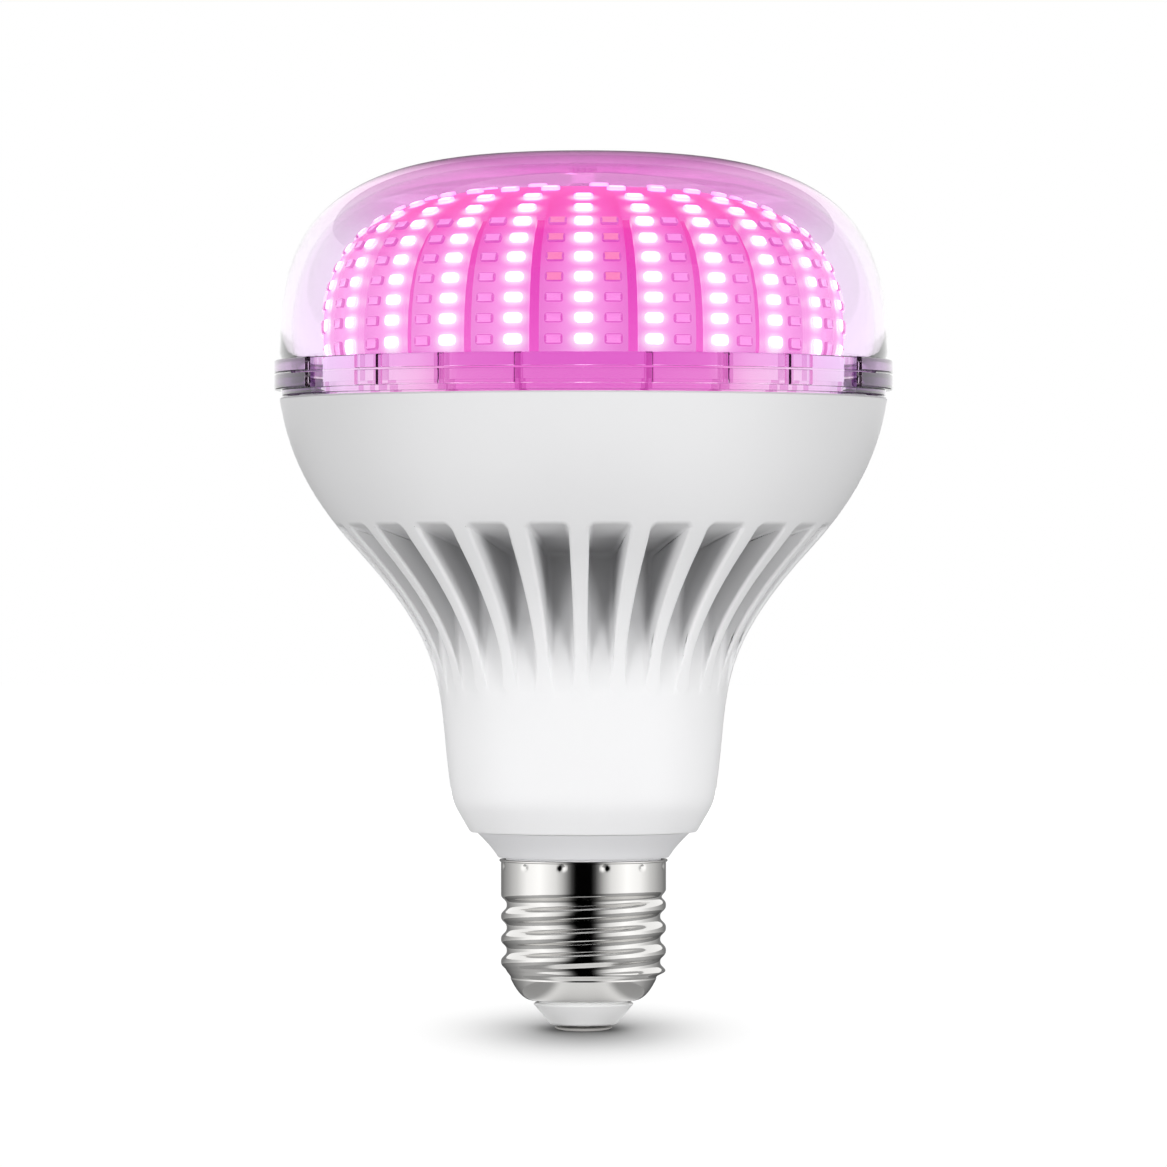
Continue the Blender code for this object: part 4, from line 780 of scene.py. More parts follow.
def make_screw_shell():
    """Pressed metal: spun from its outline, then rolled into a thread and punched with dimples."""
    top = SHELL_HIGH - 0.4 * MM
    rows = 96
    skin = [(THREAD_CREST, THREAD_FOOT + (top - THREAD_FOOT) * row / rows) for row in range(rows + 1)]
    hole, flat = 7.4 * MM, 8.1 * MM
    turn = bezier(
        (flat, SHELL_LOW),
        (9.5 * MM, SHELL_LOW + 0.05 * MM),
        (10.6 * MM, SHELL_LOW + 1.3 * MM),
        (BEAD_RADIUS, THREAD_FOOT - 0.25 * MM),
        10,
    )
    lip = [
        (13.25 * MM, top),
        (13.4 * MM, SHELL_HIGH - 0.28 * MM),
        (13.4 * MM, SHELL_HIGH - 0.1 * MM),
        (13.3 * MM, SHELL_HIGH),
    ]
    band_bore, thread_bore, floor = 12.65 * MM, 11.74 * MM, SHELL_LOW + 0.5 * MM
    inside = [
        (band_bore, SHELL_HIGH),
        (band_bore, SHELL_HIGH - 4.4 * MM),
        (thread_bore, SHELL_HIGH - 4.9 * MM),
        (thread_bore, THREAD_FOOT + 1.6 * MM),
        (11.1 * MM, SHELL_LOW + 3.25 * MM),
        (10.07 * MM, SHELL_LOW + 1.3 * MM),
        (flat, floor),
        (hole, floor),
    ]
    points = [(hole, SHELL_LOW), (flat, SHELL_LOW)] + turn + skin + lip + inside
    shell = turned("screw_shell_plated", points, 240, 40.0)
    roll_thread(shell, top)
    clean(shell, 60.0)
    nickel = material("bright_nickel", linear(206, 205, 203), 0.09, 1.0, 1800, 0.04, 0.0008, 6.0)
    finish_piece(shell, nickel, "nickel_shell", "screw_shell")


def make_insulator_and_contact():
    """The white tapered ring with its inner flange, and the metal button that closes the tip."""
    waist, flange, flange_low = 7.1 * MM, 8.2 * MM, SHELL_LOW + 0.8 * MM
    top = SHELL_LOW - 0.3 * MM
    points = rounded(
        [
            (1.5 * MM, INSULATOR_LOW),
            (5.3 * MM, INSULATOR_LOW, 0.5 * MM),
            (5.97 * MM, INSULATOR_LOW + 0.95 * MM, 0.55 * MM),
            (8.0 * MM, top - 0.25 * MM, 0.3 * MM),
            (7.7 * MM, top),
            (waist, top),
            (waist, flange_low),
            (flange, flange_low),
            (flange, flange_low + 1.4 * MM),
            (1.5 * MM, flange_low + 1.4 * MM),
        ]
    )
    insulator = turned("insulator_ring", points, 72)
    glaze = material("glazed_white", linear(239, 239, 239), 0.3, grain=900, relief=0.004)
    finish_piece(insulator, glaze, "white_insulator", "base_insulator")

    head = INSULATOR_LOW - 0.3 * MM
    crown = [
        (0.0, CONTACT_LOW),
        (2.2 * MM, CONTACT_LOW),
        (3.3 * MM, CONTACT_LOW + 0.09 * MM),
        (4.1 * MM, CONTACT_LOW + 0.26 * MM),
        (4.5 * MM, CONTACT_LOW + 0.45 * MM),
        (4.6 * MM, head - 0.12 * MM),
        (4.5 * MM, head),
        (1.2 * MM, head),
        (1.2 * MM, CONTACT_HIGH),
        (0.0, CONTACT_HIGH),
    ]
    contact = turned("contact_button", crown, 64)
    metal = material("contact_plating", linear(226, 224, 220), 0.35, 1.0, 1500, 0.08, 0.003)
    finish_piece(contact, metal, "contact_metal", "centre_contact")


# Clear cover and ring


def mirrored_spans(start_deg, end_deg):
    """A span of angles and its mirror images on the other three quarters."""
    for turn, sign in ((0, 1), (180, -1), (180, 1), (360, -1)):
        yield tuple(sorted((turn + sign * start_deg, turn + sign * end_deg)))


def collar_cutter(low, high):
    """Grooves and shallow recesses round one tier of the collar, as one cutter."""
    parts = []
    reach = COLLAR_RADIUS + 1 * MM
    for angle in GROOVES_DEG:
        floor = COLLAR_RADIUS - 0.6 * MM
        points = [(floor, low), (reach, low), (reach, high), (floor, high)]
        for start, end in mirrored_spans(angle - GROOVE_WIDTH_DEG / 2, angle + GROOVE_WIDTH_DEG / 2):
            parts.append(wedge("groove", points, start, end, 2))
    floor = COLLAR_RADIUS - 0.95 * MM
    points = [(floor, low), (reach, low), (reach, high), (floor, high)]
    for start, end in mirrored_spans(*RECESS_DEG):
        parts.append(wedge("recess", points, start, end, 10))
    return join(parts, "collar_cutter")


def dome_skin(radius, rise, steps):
    """Points of the dome's squared-off curve, from its foot up to the axis."""
    points = []
    foot = DOME_LOW + DOME_FOOT
    for step in range(steps + 1):
        angle = math.pi / 2 * step / steps
        height = rise * math.sin(angle) ** (2 / DOME_ROUNDNESS)
        reach = math.cos(angle) ** (2 / DOME_ROUNDNESS) if step < steps else 0.0
        points.append((reach * (radius - DOME_TAPER * height), foot + height))
    return points


def make_clear_pieces():
    """The clear dome and the clear ring under it, each with one tier of the collar."""
    tier_top = DOME_LOW + COLLAR_TIER
    rise = DOME_HIGH - DOME_LOW - DOME_FOOT
    bore = DOME_RADIUS - DOME_WALL
    foot = rounded(
        [
            (bore, DOME_LOW),
            (COLLAR_RADIUS, DOME_LOW, 0.2 * MM),
            (COLLAR_RADIUS, tier_top, 0.35 * MM),
            (DOME_RADIUS - 0.15 * MM, tier_top, 0.2 * MM),
        ]
    )
    points = foot + dome_skin(DOME_RADIUS, rise, 36) + dome_skin(bore, rise - DOME_WALL, 30)[::-1]
    dome = turned("clear_dome", points, 180)
    cut(dome, collar_cutter(DOME_LOW - 0.1 * MM, tier_top + 0.1 * MM))
    clean(dome, 30.0)

    spigot, spigot_bore, neck_radius = 45.6 * MM, 45.6 * MM - 1.6 * MM, 48.14 * MM
    neck = RING_LOW + 1.75 * MM
    tier_low = neck + 0.9 * MM
    step = (neck + RING_HIGH) / 2
    points = rounded(
        [
            (spigot_bore, RING_LOW),
            (spigot, RING_LOW),
            (spigot, neck),
            (neck_radius, neck, 0.15 * MM),
            (neck_radius, tier_low, 0.2 * MM),
            (COLLAR_RADIUS, tier_low, 0.3 * MM),
            (COLLAR_RADIUS, RING_HIGH, 0.2 * MM),
            (bore, RING_HIGH),
            (bore, step),
            (spigot_bore, step),
        ]
    )
    ring = turned("clear_ring", points, 180)
    cut(ring, collar_cutter(neck + 0.8 * MM, RING_HIGH + 0.1 * MM))
    clean(ring, 30.0)
    cover = clear_plastic("clear_cover", (0.97, 0.865, 1.0, 1), 0.012, dome_rim, dome_tint_with_painted_light_and_shade)
    finish_piece(dome, cover, "clear_cover_plastic", "dome_cover")
    collar = clear_plastic("clear_collar", (0.97, 0.95, 0.98, 1), 0.03, COLLAR_RIM, ring_tint_with_painted_shade)
    finish_piece(ring, collar, "clear_ring_plastic", "cover_ring")


# Board of lights


def board_point(share, inset=0.0):
    """A point of the board's domed form at a share of its radius."""
    rise = max(1.0 - share**BOARD_ROUNDNESS, 0.0) ** (1.0 / BOARD_ROUNDNESS)
    return share * (BOARD_RADIUS - inset), BOARD_EQUATOR + rise * (BOARD_RISE - inset)


def board_at_height(height, inset=0.0):
    """A point of the board's domed form at this height."""
    share = (height - BOARD_EQUATOR) / BOARD_RISE
    return board_point(max(1.0 - share**BOARD_ROUNDNESS, 0.0) ** (1.0 / BOARD_ROUNDNESS), inset)


def board_rows():
    """Points of the board's outline at the folds between its rows of lights, from the hem up."""
    lights = [board_at_height(height) for height in ROW_HEIGHTS]
    lights += [board_point(radius / BOARD_RADIUS) for radius in CROWN_RADII]
    rows = [board_at_height(BOARD_LOW)]
    for lower, upper in zip(lights, lights[1:]):
        rows.append(board_at_height((lower[1] + upper[1]) / 2))
    for radius in (14.5 * MM, 10.0 * MM, 5.0 * MM, SCREW_HOLE_RADIUS):
        rows.append(board_point(radius / BOARD_RADIUS))
    return rows


def petals():
    """Angles of each petal's folds, the same on both sides of the front centre line."""
    made = [[-1.5 * FACET_DEG, -0.5 * FACET_DEG, 0.5 * FACET_DEG, 1.5 * FACET_DEG]]
    for pair in range(1, COLUMN_COUNT // 2):
        start = pair * COLUMN_PITCH - FACET_DEG / 2
        made.append([start, start + FACET_DEG, start + 2 * FACET_DEG])
    made.append([180.0 - FACET_DEG / 2, 180.0 + FACET_DEG / 2])
    for petal in made[-2:0:-1]:
        made.append([360.0 - angle for angle in reversed(petal)])
    return made


def make_board():
    """The folded sheet: a grid for each petal and each bridge of the crown, thickened inwards."""
    rows = board_rows()
    parts = []
    shapes = petals()
    spans = [(petal, 0) for petal in shapes]
    for here, after in zip(shapes, shapes[1:] + [[angle + 360 for angle in shapes[0]]]):
        spans.append(([here[-1], after[0]], SLOTTED_ROWS))
    for angles, first in spans:
        heights = rows[first:]
        deselect()
        bpy.ops.mesh.primitive_grid_add(
            x_subdivisions=len(angles) - 1, y_subdivisions=len(heights) - 1, size=1.0
        )
        grid = named("petal")
        for index, vertex in enumerate(grid.data.vertices):
            row, column = divmod(index, len(angles))
            vertex.co = place(heights[row][0], angles[column], heights[row][1])
        parts.append(grid)
    board = join(parts, "light_board")
    clean(board, 20.0)
    apply_modifier(board, "SOLIDIFY", thickness=BOARD_THICKNESS, offset=-1.0)
    add_painted_glow_map(board)
    finish_piece(board, board_material(), "light_board", "led_board")


def add_painted_glow_map(board):
    """Lays out, in millimetres, how far each point is from the nearest lit column and row, for the
    painted glow.
    """
    mesh = board.data
    layer = mesh.uv_layers.new(name="glow")
    rows = [board_at_height(height) for height in ROW_HEIGHTS]
    rows.append(board_point(CROWN_RADII[0] / BOARD_RADIUS))
    for face in mesh.polygons:
        middle = face.center
        front = math.degrees(math.atan2(middle.x, -middle.y))
        column = round(front / COLUMN_PITCH) * COLUMN_PITCH
        spot = (middle.xy.length, middle.z)
        row = min(rows, key=lambda place: math.dist(place, spot))
        for loop in face.loop_indices:
            corner = mesh.vertices[mesh.loops[loop].vertex_index].co
            angle = math.degrees(math.atan2(corner.x, -corner.y))
            aside = (angle - column + 180) % 360 - 180
            across = math.radians(aside) * corner.xy.length / MM
            up = math.dist(row, (corner.xy.length, corner.z)) / MM
            layer.data[loop].uv = (across, up if corner.z > row[1] else -up)


def board_material():
    """Pink sheet with painted light: it glows in bands, palest beside the lit lights and deepest near
    the top, with a painted pool of light round each lit light.
    """
    made = material("lit_board_painted_glow", linear(96, 10, 66), 0.4, grain=2500, relief=0.01)
    tree = made.node_tree
    reach = map_axes(tree, "glow")
    across = squared(tree, maths(tree, "DIVIDE", reach["X"], PAINTED_GLOW_ACROSS))
    up = squared(tree, maths(tree, "DIVIDE", reach["Y"], PAINTED_GLOW_UP))
    painted_light_pool = bell(tree, squared(tree, maths(tree, "ADD", across, up)), 0.9)
    height = object_axes(tree)["Z"]
    low, high = BOARD_LOW, BOARD_EQUATOR + BOARD_RISE
    deep = [
        (0.0, linear(236, 134, 216)),
        (0.4, linear(238, 122, 210)),
        (0.65, linear(240, 70, 190)),
        (0.8, linear(244, 16, 164)),
        (1.0, linear(240, 10, 156)),
    ]
    pale = [(0.0, linear(250, 180, 240)), (0.6, linear(250, 158, 230)), (0.85, linear(248, 60, 186))]
    deep = ramp(tree, height, low, high, deep)
    pale = ramp(tree, height, low, high, pale)
    colour = blend(tree, bell(tree, across, 0.3), deep, pale)
    # Painted light: an emitted glow stands for the lights' own light falling on the board
    light_up(made, blend(tree, painted_light_pool, colour, (1.0, 0.94, 0.99, 1.0)), 0.92)
    return made


def light_frames():
    """Each light's place on its facet, in two lists: the lit ones and the others."""
    rows = board_rows()
    folds = petals()
    ring = sorted({angle % 360.0 for petal in folds for angle in petal})
    crown = list(zip(ring, ring[1:] + [ring[0] + 360.0]))
    lit, unlit = [], []
    for petal in folds:
        for facet in zip(petal, petal[1:]):
            middle = (facet[0] + facet[1]) / 2
            aside = (middle + COLUMN_PITCH / 2) % COLUMN_PITCH - COLUMN_PITCH / 2
            kind = lit if abs(aside) < 1.0 else unlit
            for row in range(SLOTTED_ROWS):
                kind.append(facet_frame(rows[row], rows[row + 1], *facet))
    half = COLUMN_COUNT // 2
    columns = [COLUMN_PITCH * column for column in range(COLUMN_COUNT)]
    outer = [sign * (11.5 + COLUMN_PITCH * step) for step in range(half) for sign in (1, -1)]
    inner = [COLUMN_PITCH * (2 * step + 0.5) for step in range(half)]
    for row, angles in enumerate((columns, columns, outer, inner), start=SLOTTED_ROWS):
        for angle in angles:
            left, right = next(pair for pair in crown if (angle - pair[0]) % 360 <= pair[1] - pair[0])
            share = (angle - left) % 360 / (right - left)
            lit.append(facet_frame(rows[row], rows[row + 1], left, right, share))
    return lit, unlit


def facet_frame(low, high, left, right, share=0.5):
    """The place and turn of a light that lies flat on one facet of the board."""
    corners = [
        place(low[0], left, low[1]),
        place(low[0], right, low[1]),
        place(high[0], right, high[1]),
        place(high[0], left, high[1]),
    ]
    side_a, side_b = (corners[0] + corners[3]) / 2, (corners[1] + corners[2]) / 2
    middle = side_a + (side_b - side_a) * share
    across = (corners[1] - corners[0]).normalized()
    up = ((corners[2] + corners[3]) - (corners[0] + corners[1])).normalized()
    out = across.cross(up).normalized()
    up = out.cross(across)
    matrix = Matrix((across, up, out)).transposed().to_4x4()
    matrix.translation = middle
    return matrix


def light_package(name, size, corner, lens):
    """One light lying flat at the origin: a low body with rounded corners and a raised lens."""
    deselect()
    bpy.ops.mesh.primitive_cube_add(size=1.0)
    body = named(name)
    bpy.ops.object.mode_set(mode="EDIT")
    bpy.ops.mesh.select_all(action="SELECT")
    bpy.ops.transform.resize(value=(size[0], size[1], 0.45 * MM))
    bpy.ops.transform.translate(value=(0, 0, 0.175 * MM))
    bpy.ops.mesh.select_all(action="DESELECT")
    bpy.ops.object.mode_set(mode="OBJECT")
    mesh = body.data
    for edge in mesh.edges:
        first, second = (mesh.vertices[index].co for index in edge.vertices)
        edge.select = abs(first.z - second.z) > 0.1 * MM
    bpy.ops.object.mode_set(mode="EDIT")
    bpy.ops.mesh.select_mode(type="EDGE")
    bpy.ops.mesh.bevel(offset=corner, segments=3)
    bpy.ops.mesh.select_mode(type="FACE")
    bpy.ops.mesh.select_all(action="DESELECT")
    bpy.ops.object.mode_set(mode="OBJECT")
    for face in mesh.polygons:
        face.select = face.normal.z > 0.9
    bpy.ops.object.mode_set(mode="EDIT")
    bpy.ops.mesh.inset(thickness=0.12 * MM, depth=0.08 * MM)
    bpy.ops.mesh.inset(thickness=0.2 * MM, depth=lens)
    bpy.ops.object.mode_set(mode="OBJECT")
    layer = mesh.uv_layers.new(name="lens")
    for face in mesh.polygons:
        inside = max(abs(face.center.x) / size[0], abs(face.center.y) / size[1]) < 0.41
        for loop in face.loop_indices:
            layer.data[loop].uv = (0.0, 1.0 if inside and face.center.z > 0.3 * MM else 0.0)
    return body


def make_lights():
    """Two kinds of light, each made once and copied to its places on the board."""
    lit_places, unlit_places = light_frames()
    lit = light_package("light", (2.95 * MM, 1.6 * MM), 0.68 * MM, 0.05 * MM)
    unlit = light_package("dark_light", (2.8 * MM, 1.45 * MM), 0.4 * MM, -0.08 * MM)
    lit = join(copies(lit, lit_places), "lit_lights")
    unlit = join(copies(unlit, unlit_places), "unlit_lights")
    clean(lit, 50.0)
    clean(unlit, 50.0)
    finish_piece(lit, lit_material(), "light_board", "led_board")
    finish_piece(unlit, unlit_material(), "light_board", "led_board")


def lit_material():
    """White glow, with rows that lean to yellow or to cyan."""
    made = material("lit_light", (0.95, 0.95, 0.95, 1), 0.4, grain=1500, relief=0.002)
    tree = made.node_tree
    white, warm, cool = (1, 1, 1, 1), (1.0, 0.92, 0.56, 1), (0.80, 0.97, 1.0, 1)
    folds = [point[1] for point in board_rows()]
    low, high = folds[0], folds[6]
    shares = [(fold - low) / (high - low) for fold in folds]
    stops = [(0.0, white), (shares[1], warm), (shares[2], cool), (shares[3], warm), (shares[5], white)]
    colours = ramp(tree, object_axes(tree)["Z"], low, high, stops, steps=True)
    light_up(made, blend(tree, on_lens(tree), linear(250, 150, 234), colours), 1.25)
    return made


def on_lens(tree):
    """1 on a light's lens and 0 on its body."""
    return map_axes(tree, "lens")["Y"]


def unlit_material():
    """Pink packages with painted light: they glow though unlit, warmer on a pair of columns beside the
    front one.
    """
    made = material("unlit_light", linear(120, 24, 90), 0.16, grain=1500, relief=0.002)
    tree = made.node_tree
    spot = object_axes(tree)
    high_up = maths(tree, "GREATER_THAN", spot["Z"], board_rows()[3][1])
    beside = maths(tree, "LESS_THAN", maths(tree, "ABSOLUTE", spot["X"]), 7.0 * MM)
    warm = maths(tree, "MULTIPLY", high_up, beside)
    lens = blend(tree, warm, linear(244, 150, 226), linear(244, 136, 176))
    # Painted light: the unlit packages glow as if lit by the lights round them
    light_up(made, blend(tree, on_lens(tree), linear(206, 76, 182), lens), 0.9)
    feed(tree, tree.nodes["Principled BSDF"], {"Coat Weight": 0.6})
    return made


def paint_glow_on_former(look):
    """Painted light: the former glows deep magenta behind the slots and paler pink behind the collar, as
    if lit by the board.
    """
    tree = look.node_tree
    spot = object_axes(tree)
    hem = BOARD_LOW - 0.4 * MM
    deep = [(0.0, linear(232, 84, 196)), (0.5, linear(226, 50, 182)), (1.0, linear(236, 24, 164))]
    deep = ramp(tree, spot["Z"], hem, BOARD_LOW + 22 * MM, deep)
    skirt = [
        (0.0, linear(224, 108, 202)),
        (0.45, linear(222, 108, 200)),
        (0.60, linear(238, 178, 226)),
        (0.86, linear(236, 204, 238)),
        (1.0, linear(232, 214, 240)),
    ]
    skirt = ramp(tree, maths(tree, "ABSOLUTE", spot["X"]), 0.0, 42.0 * MM, skirt)
    above = maths(tree, "GREATER_THAN", spot["Z"], hem)
    light_up(look, blend(tree, above, skirt, deep), 1.0)


# Looks of the solids that stay as they are


def dress_solids():
    """Finishes for the solids that are seen as they are: the former, with painted glow, and all that is
    inside.
    """
    sleeve, core = linear(30, 34, 46), linear(66, 62, 58)
    looks = {
        "led_former": material("former_plastic_painted_glow", linear(84, 14, 62), 0.5, grain=3000),
        "heat_spreader": material(
            "rolled_aluminium", linear(196, 198, 201), 0.34, 1.0, 900, 0.05, 0.004, 0.1
        ),
        "driver_board": material("green_laminate", linear(38, 104, 58), 0.45, grain=1800, spread=0.12),
        "bulk_capacitor": material("dark_sleeve", sleeve, 0.3, grain=1200, spread=0.1),
        "film_capacitor": material("ochre_case", linear(200, 158, 60), 0.4, grain=1800, spread=0.08),
        "bridge_rectifier": material("black_case", linear(34, 34, 36), 0.5, grain=4000, spread=0.15),
        "driver_chip": material("black_chip_case", linear(40, 40, 44), 0.45, grain=4500, spread=0.15),
        "transformer": material("core_and_tape", core, 0.55, grain=2200, spread=0.25),
        "output_capacitor": material("dark_sleeve_small", sleeve, 0.3, grain=1200, spread=0.1),
        "output_inductor": material(
            "lacquered_copper", linear(150, 88, 44), 0.3, 0.6, 2600, 0.2, 0.03, 8.0
        ),
        "fusible_resistor": material(
            "dull_green_coating", linear(140, 160, 142), 0.6, grain=2600, spread=0.1
        ),
        "board_screw": material("plain_steel", linear(226, 222, 228), 0.28, 1.0, 1400, 0.06, 0.004),
    }
    zinc = material("zinc_plating", linear(186, 190, 196), 0.32, 1.0, 1400, 0.1, 0.006)
    black = material("black_insulation", linear(28, 28, 28), 0.5, grain=1600, spread=0.2)
    red = material("red_insulation", linear(170, 30, 28), 0.5, grain=1600, spread=0.1)
    for number in (1, 2, 3):
        looks[f"spreader_screw_{number}"] = zinc
    for name in ("lead_live", "lead_neutral", "led_lead_negative"):
        looks[name] = black
    looks["led_lead_positive"] = red
    paint_glow_on_former(looks["led_former"])
    for name, look in looks.items():
        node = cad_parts[name]
        node.data.materials.clear()
        node.data.materials.append(look)


# Studio

# Sizes of the shadow painted on the floor under the bulb: a wide soft oval and a tight dark core
SHADOW_ACROSS = 14 * MM
SHADOW_ALONG = 44 * MM
CORE_ACROSS = 6.9 * MM
CORE_ALONG = 13 * MM
CORE_BACK = 4 * MM
TENT_RADIUS = 0.26
TENT_HEIGHT = 0.5
TENT_HIGH_PART = 0.08
TENT_TOP_PART = 0.24
TENT_CLOSE = 0.075
PICTURE_HEIGHT = 0.07125
CAMERA_DISTANCE = 1.1875


def seen_directly(tree):
    """1 for rays from the camera, through clear plastic or off a shiny surface, otherwise 0."""
    kinds = ("Is Camera Ray", "Is Glossy Ray", "Is Transmission Ray")
    camera, shiny, clear = (ray_kind(tree, kind) for kind in kinds)
    return maths(tree, "MAXIMUM", camera, maths(tree, "MAXIMUM", shiny, clear))


def painted_wide_shadow(tree):
    """How deep the painted soft oval shadow under the bulb is, from 1 in its middle to 0."""
    reach = length(tree, multiplied(tree, own_point(tree), (1 / SHADOW_ACROSS, 1 / SHADOW_ALONG, 0.0)))
    return bell(tree, squared(tree, reach), 0.8)


def light_left_by_painted_core(tree, spot):
    """What is left of the light in the tight dark core of the painted shadow, right under the tip."""
    aside = maths(tree, "ABSOLUTE", maths(tree, "DIVIDE", spot["X"], CORE_ACROSS))
    ahead = maths(tree, "DIVIDE", maths(tree, "SUBTRACT", spot["Y"], CORE_BACK), CORE_ALONG)
    core = bell(tree, maths(tree, "ADD", maths(tree, "POWER", aside, 4.0), squared(tree, ahead)), 1.0)
    return maths(tree, "SUBTRACT", 1.0, maths(tree, "MULTIPLY", core, 0.85))


def make_floor():
    """White paper, lit enough to vanish into the background but for a shadow painted under the tip."""
    deselect()
    bpy.ops.mesh.primitive_plane_add(size=8.0, location=(0, 0, 0))
    floor = named("studio_floor")
    bpy.ops.object.mode_set(mode="EDIT")
    bpy.ops.mesh.subdivide(number_cuts=3)
    bpy.ops.object.mode_set(mode="OBJECT")
    paper, tree, shader = new_material("white_paper")
    spot = object_axes(tree)
    shadow = painted_wide_shadow(tree)
    core = light_left_by_painted_core(tree, spot)

    # The paper's own grey, lightest in the painted shadow, where it takes the lamps' real light and
    # shade, and darker in the painted core
    shade = maths(tree, "ADD", maths(tree, "MULTIPLY", shadow, 0.3), 0.1)
    shade = maths(tree, "MULTIPLY", shade, core)
    grey = add_node(tree, "CombineColor", {"Red": shade, "Green": shade, "Blue": shade})

    # Its glow, with the shadow painted into it. Shiny surfaces mirror a bright strip down the middle and
    # a painted darker paper beside it, all other rays meet the painted wide shadow, and all rays the
    # painted core
    beside = eased(tree, maths(tree, "ABSOLUTE", spot["X"]), 7.5 * MM, 12 * MM, 0.75)
    mirrored = ray_kind(tree, "Is Glossy Ray")
    shadow = maths(tree, "MULTIPLY", shadow, maths(tree, "SUBTRACT", 1.0, mirrored))
    beside = maths(tree, "MULTIPLY", beside, mirrored)
    glow = maths(tree, "MULTIPLY", maths(tree, "ADD", shadow, beside), -0.86)
    glow = maths(tree, "MULTIPLY", maths(tree, "ADD", glow, 1.0), core)
    seen = maths(tree, "MAXIMUM", seen_directly(tree), 0.3)
    glow = maths(tree, "MULTIPLY", glow, seen)
    feed(tree, shader, {"Base Color": grey.outputs["Color"], "Roughness": 0.9, "Specular IOR Level": 0})
    light_up(paper, (1, 1, 1, 1), glow)
    floor.data.materials.append(paper)


def make_tent():
    """A round light tent, open at the top, that only shiny surfaces see.

    Its wall is dark in front and brightest beside the bulb. Behind, it is grey low down and white
    higher up, but for a dark strip in the middle."""
    deselect()
    bpy.ops.mesh.primitive_cylinder_add(
        vertices=72, radius=TENT_RADIUS, depth=TENT_HEIGHT, end_fill_type="NOTHING", location=(0, 0, 0)
    )
    tent = named("light_tent")
    bpy.ops.object.mode_set(mode="EDIT")
    bpy.ops.mesh.select_all(action="SELECT")
    bpy.ops.transform.translate(value=(0, 0, TENT_HEIGHT / 2 + 0.5 * MM))
    bpy.ops.mesh.flip_normals()
    bpy.ops.mesh.select_all(action="DESELECT")
    bpy.ops.object.mode_set(mode="OBJECT")
    for edge in tent.data.edges:
        edge.select = all(tent.data.vertices[index].co.z < 0.01 for index in edge.vertices)
    bpy.ops.object.mode_set(mode="EDIT")
    bpy.ops.mesh.select_mode(type="EDGE")
    bpy.ops.mesh.extrude_region_move()
    bpy.ops.transform.resize(value=(0.07, 0.07, 1.0))
    bpy.ops.object.mode_set(mode="OBJECT")
    cloth, tree, shader = new_material("tent_cloth")
    tree.nodes.remove(shader)
    spot = object_axes(tree)
    ahead = maths(tree, "MULTIPLY", spot["Y"], -1.0)
    angle = maths(tree, "ARCTAN2", maths(tree, "ABSOLUTE", spot["X"]), ahead)
    low_stops = [
        (0.0, 0.0),
        (11.0, 0.0),
        (16.0, 0.07),
        (21.0, 0.3),
        (28.0, 0.72),
        (38.0, 1.2),
        (62.0, 1.7),
        (84.0, 1.5),
        (104.0, 0.95),
        (128.0, 0.55),
        (152.0, 0.25),
    ]
    high_stops = [*low_stops[:8], (104.0, 1.4), (163.0, 1.3), (172.0, 0.15)]
    walls = []
    for stops in (low_stops, high_stops):
        stops = [(degrees / 180, (level, level, level, 1.0)) for degrees, level in stops]
        walls.append(ramp(tree, angle, 0.0, math.pi, stops))
    high_up = maths(tree, "GREATER_THAN", spot["Z"], TENT_HIGH_PART)

    # Dimmer overhead, and on the ground close to the bulb
    overhead = maths(tree, "GREATER_THAN", spot["Z"], TENT_TOP_PART)
    close = maths(tree, "LESS_THAN", length(tree, own_point(tree)), TENT_CLOSE)
    dim = maths(tree, "MULTIPLY", maths(tree, "MAXIMUM", overhead, close), 0.6)
    level = maths(tree, "SUBTRACT", 1.0, dim)
    light = add_node(tree, "Emission", {"Color": blend(tree, high_up, *walls), "Strength": level})
    feed(tree, tree.nodes["Material Output"], {"Surface": light.outputs["Emission"]})
    tent.data.materials.append(cloth)
    tent.visible_camera = False
    tent.visible_diffuse = False
    tent.visible_transmission = False
    tent.visible_shadow = False


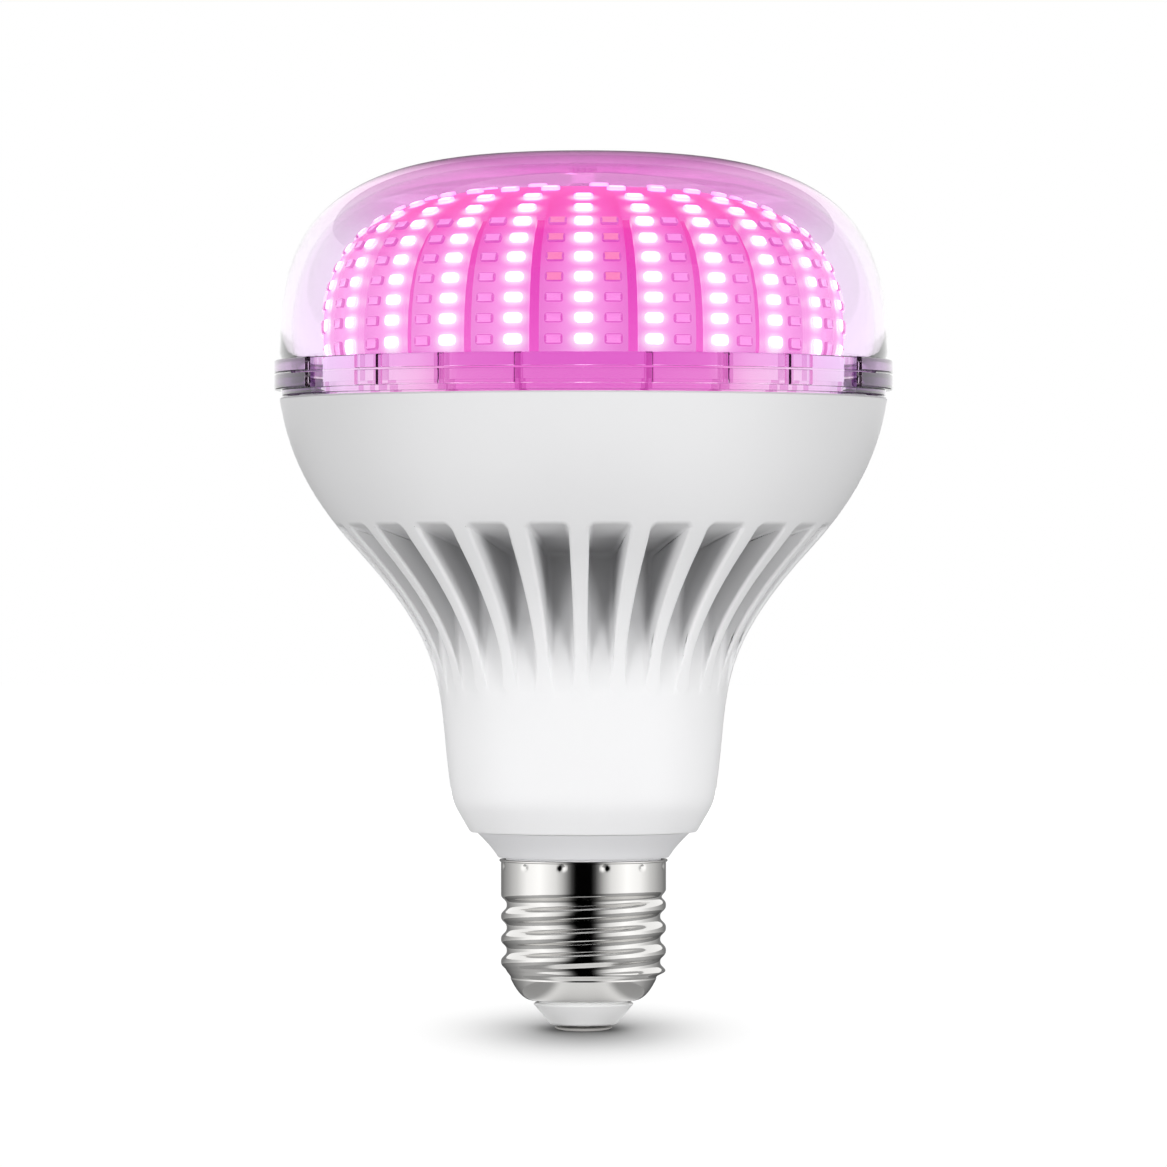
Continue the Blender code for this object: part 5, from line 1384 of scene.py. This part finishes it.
def add_lamp(kind, name, spot, aim, energy):
    """A lamp turned towards a point, and kept out of shiny and clear surfaces."""
    deselect()
    bpy.ops.object.light_add(type=kind, location=spot)
    lamp = named(name)
    lamp.data.energy = energy
    lamp.visible_glossy = False
    lamp.visible_transmission = False
    lamp.rotation_euler = (Vector(aim) - Vector(spot)).to_track_quat("-Z", "Y").to_euler()
    return lamp


def make_lamps():
    """Square softboxes in front and behind, and narrow spots from both sides for the lower half."""
    for name, spot, energy in (
        ("left_softbox", (-0.89, -1.12, 0.03), 18.0),
        ("right_softbox", (0.91, -1.12, 0.03), 20.5),
        ("back_softbox", (0.0, 1.4, 0.12), 16.0),
    ):
        lamp = add_lamp("AREA", name, spot, (0, 0, 0.07), energy)
        lamp.data.shape = "SQUARE"
        lamp.data.size = 0.5
    for name, side, energy in (("left_snoot", -1, 16.5), ("right_snoot", 1, 14.5)):
        lamp = add_lamp("SPOT", name, (0.9 * side, -0.35, 0.02), (0, 0, 0.034), energy)
        lamp.data.spot_size = math.radians(5.0)
        lamp.data.spot_blend = 0.6
        lamp.data.shadow_soft_size = 0.04


def make_studio():
    """White background, paper, light tent, lamps and the level camera of the photo."""
    world = bpy.data.worlds.new("studio")
    bpy.context.scene.world = world
    world.use_nodes = True
    tree = world.node_tree
    strength = add_node(tree, "MapRange", {"Value": seen_directly(tree), "To Min": 0.14, "To Max": 1.0})
    white = {"Color": (1, 1, 1, 1), "Strength": strength.outputs["Result"]}
    feed(tree, tree.nodes["Background"], white)
    make_floor()
    make_tent()
    make_lamps()

    deselect()
    spot = (0.0, -CAMERA_DISTANCE, PICTURE_HEIGHT)
    bpy.ops.object.camera_add(location=spot, rotation=(math.radians(90), 0, 0))
    camera = named("photo_camera")
    camera.data.sensor_width = 36.0
    camera.data.lens = 229.8
    camera.data.clip_start = 0.05
    camera.data.clip_end = 50.0
    bpy.context.scene.camera = camera
    bpy.context.scene.view_settings.view_transform = "Standard"


make_housing()
make_driver_cup()
make_screw_shell()
make_insulator_and_contact()
make_clear_pieces()
make_board()
make_lights()
dress_solids()
make_studio()
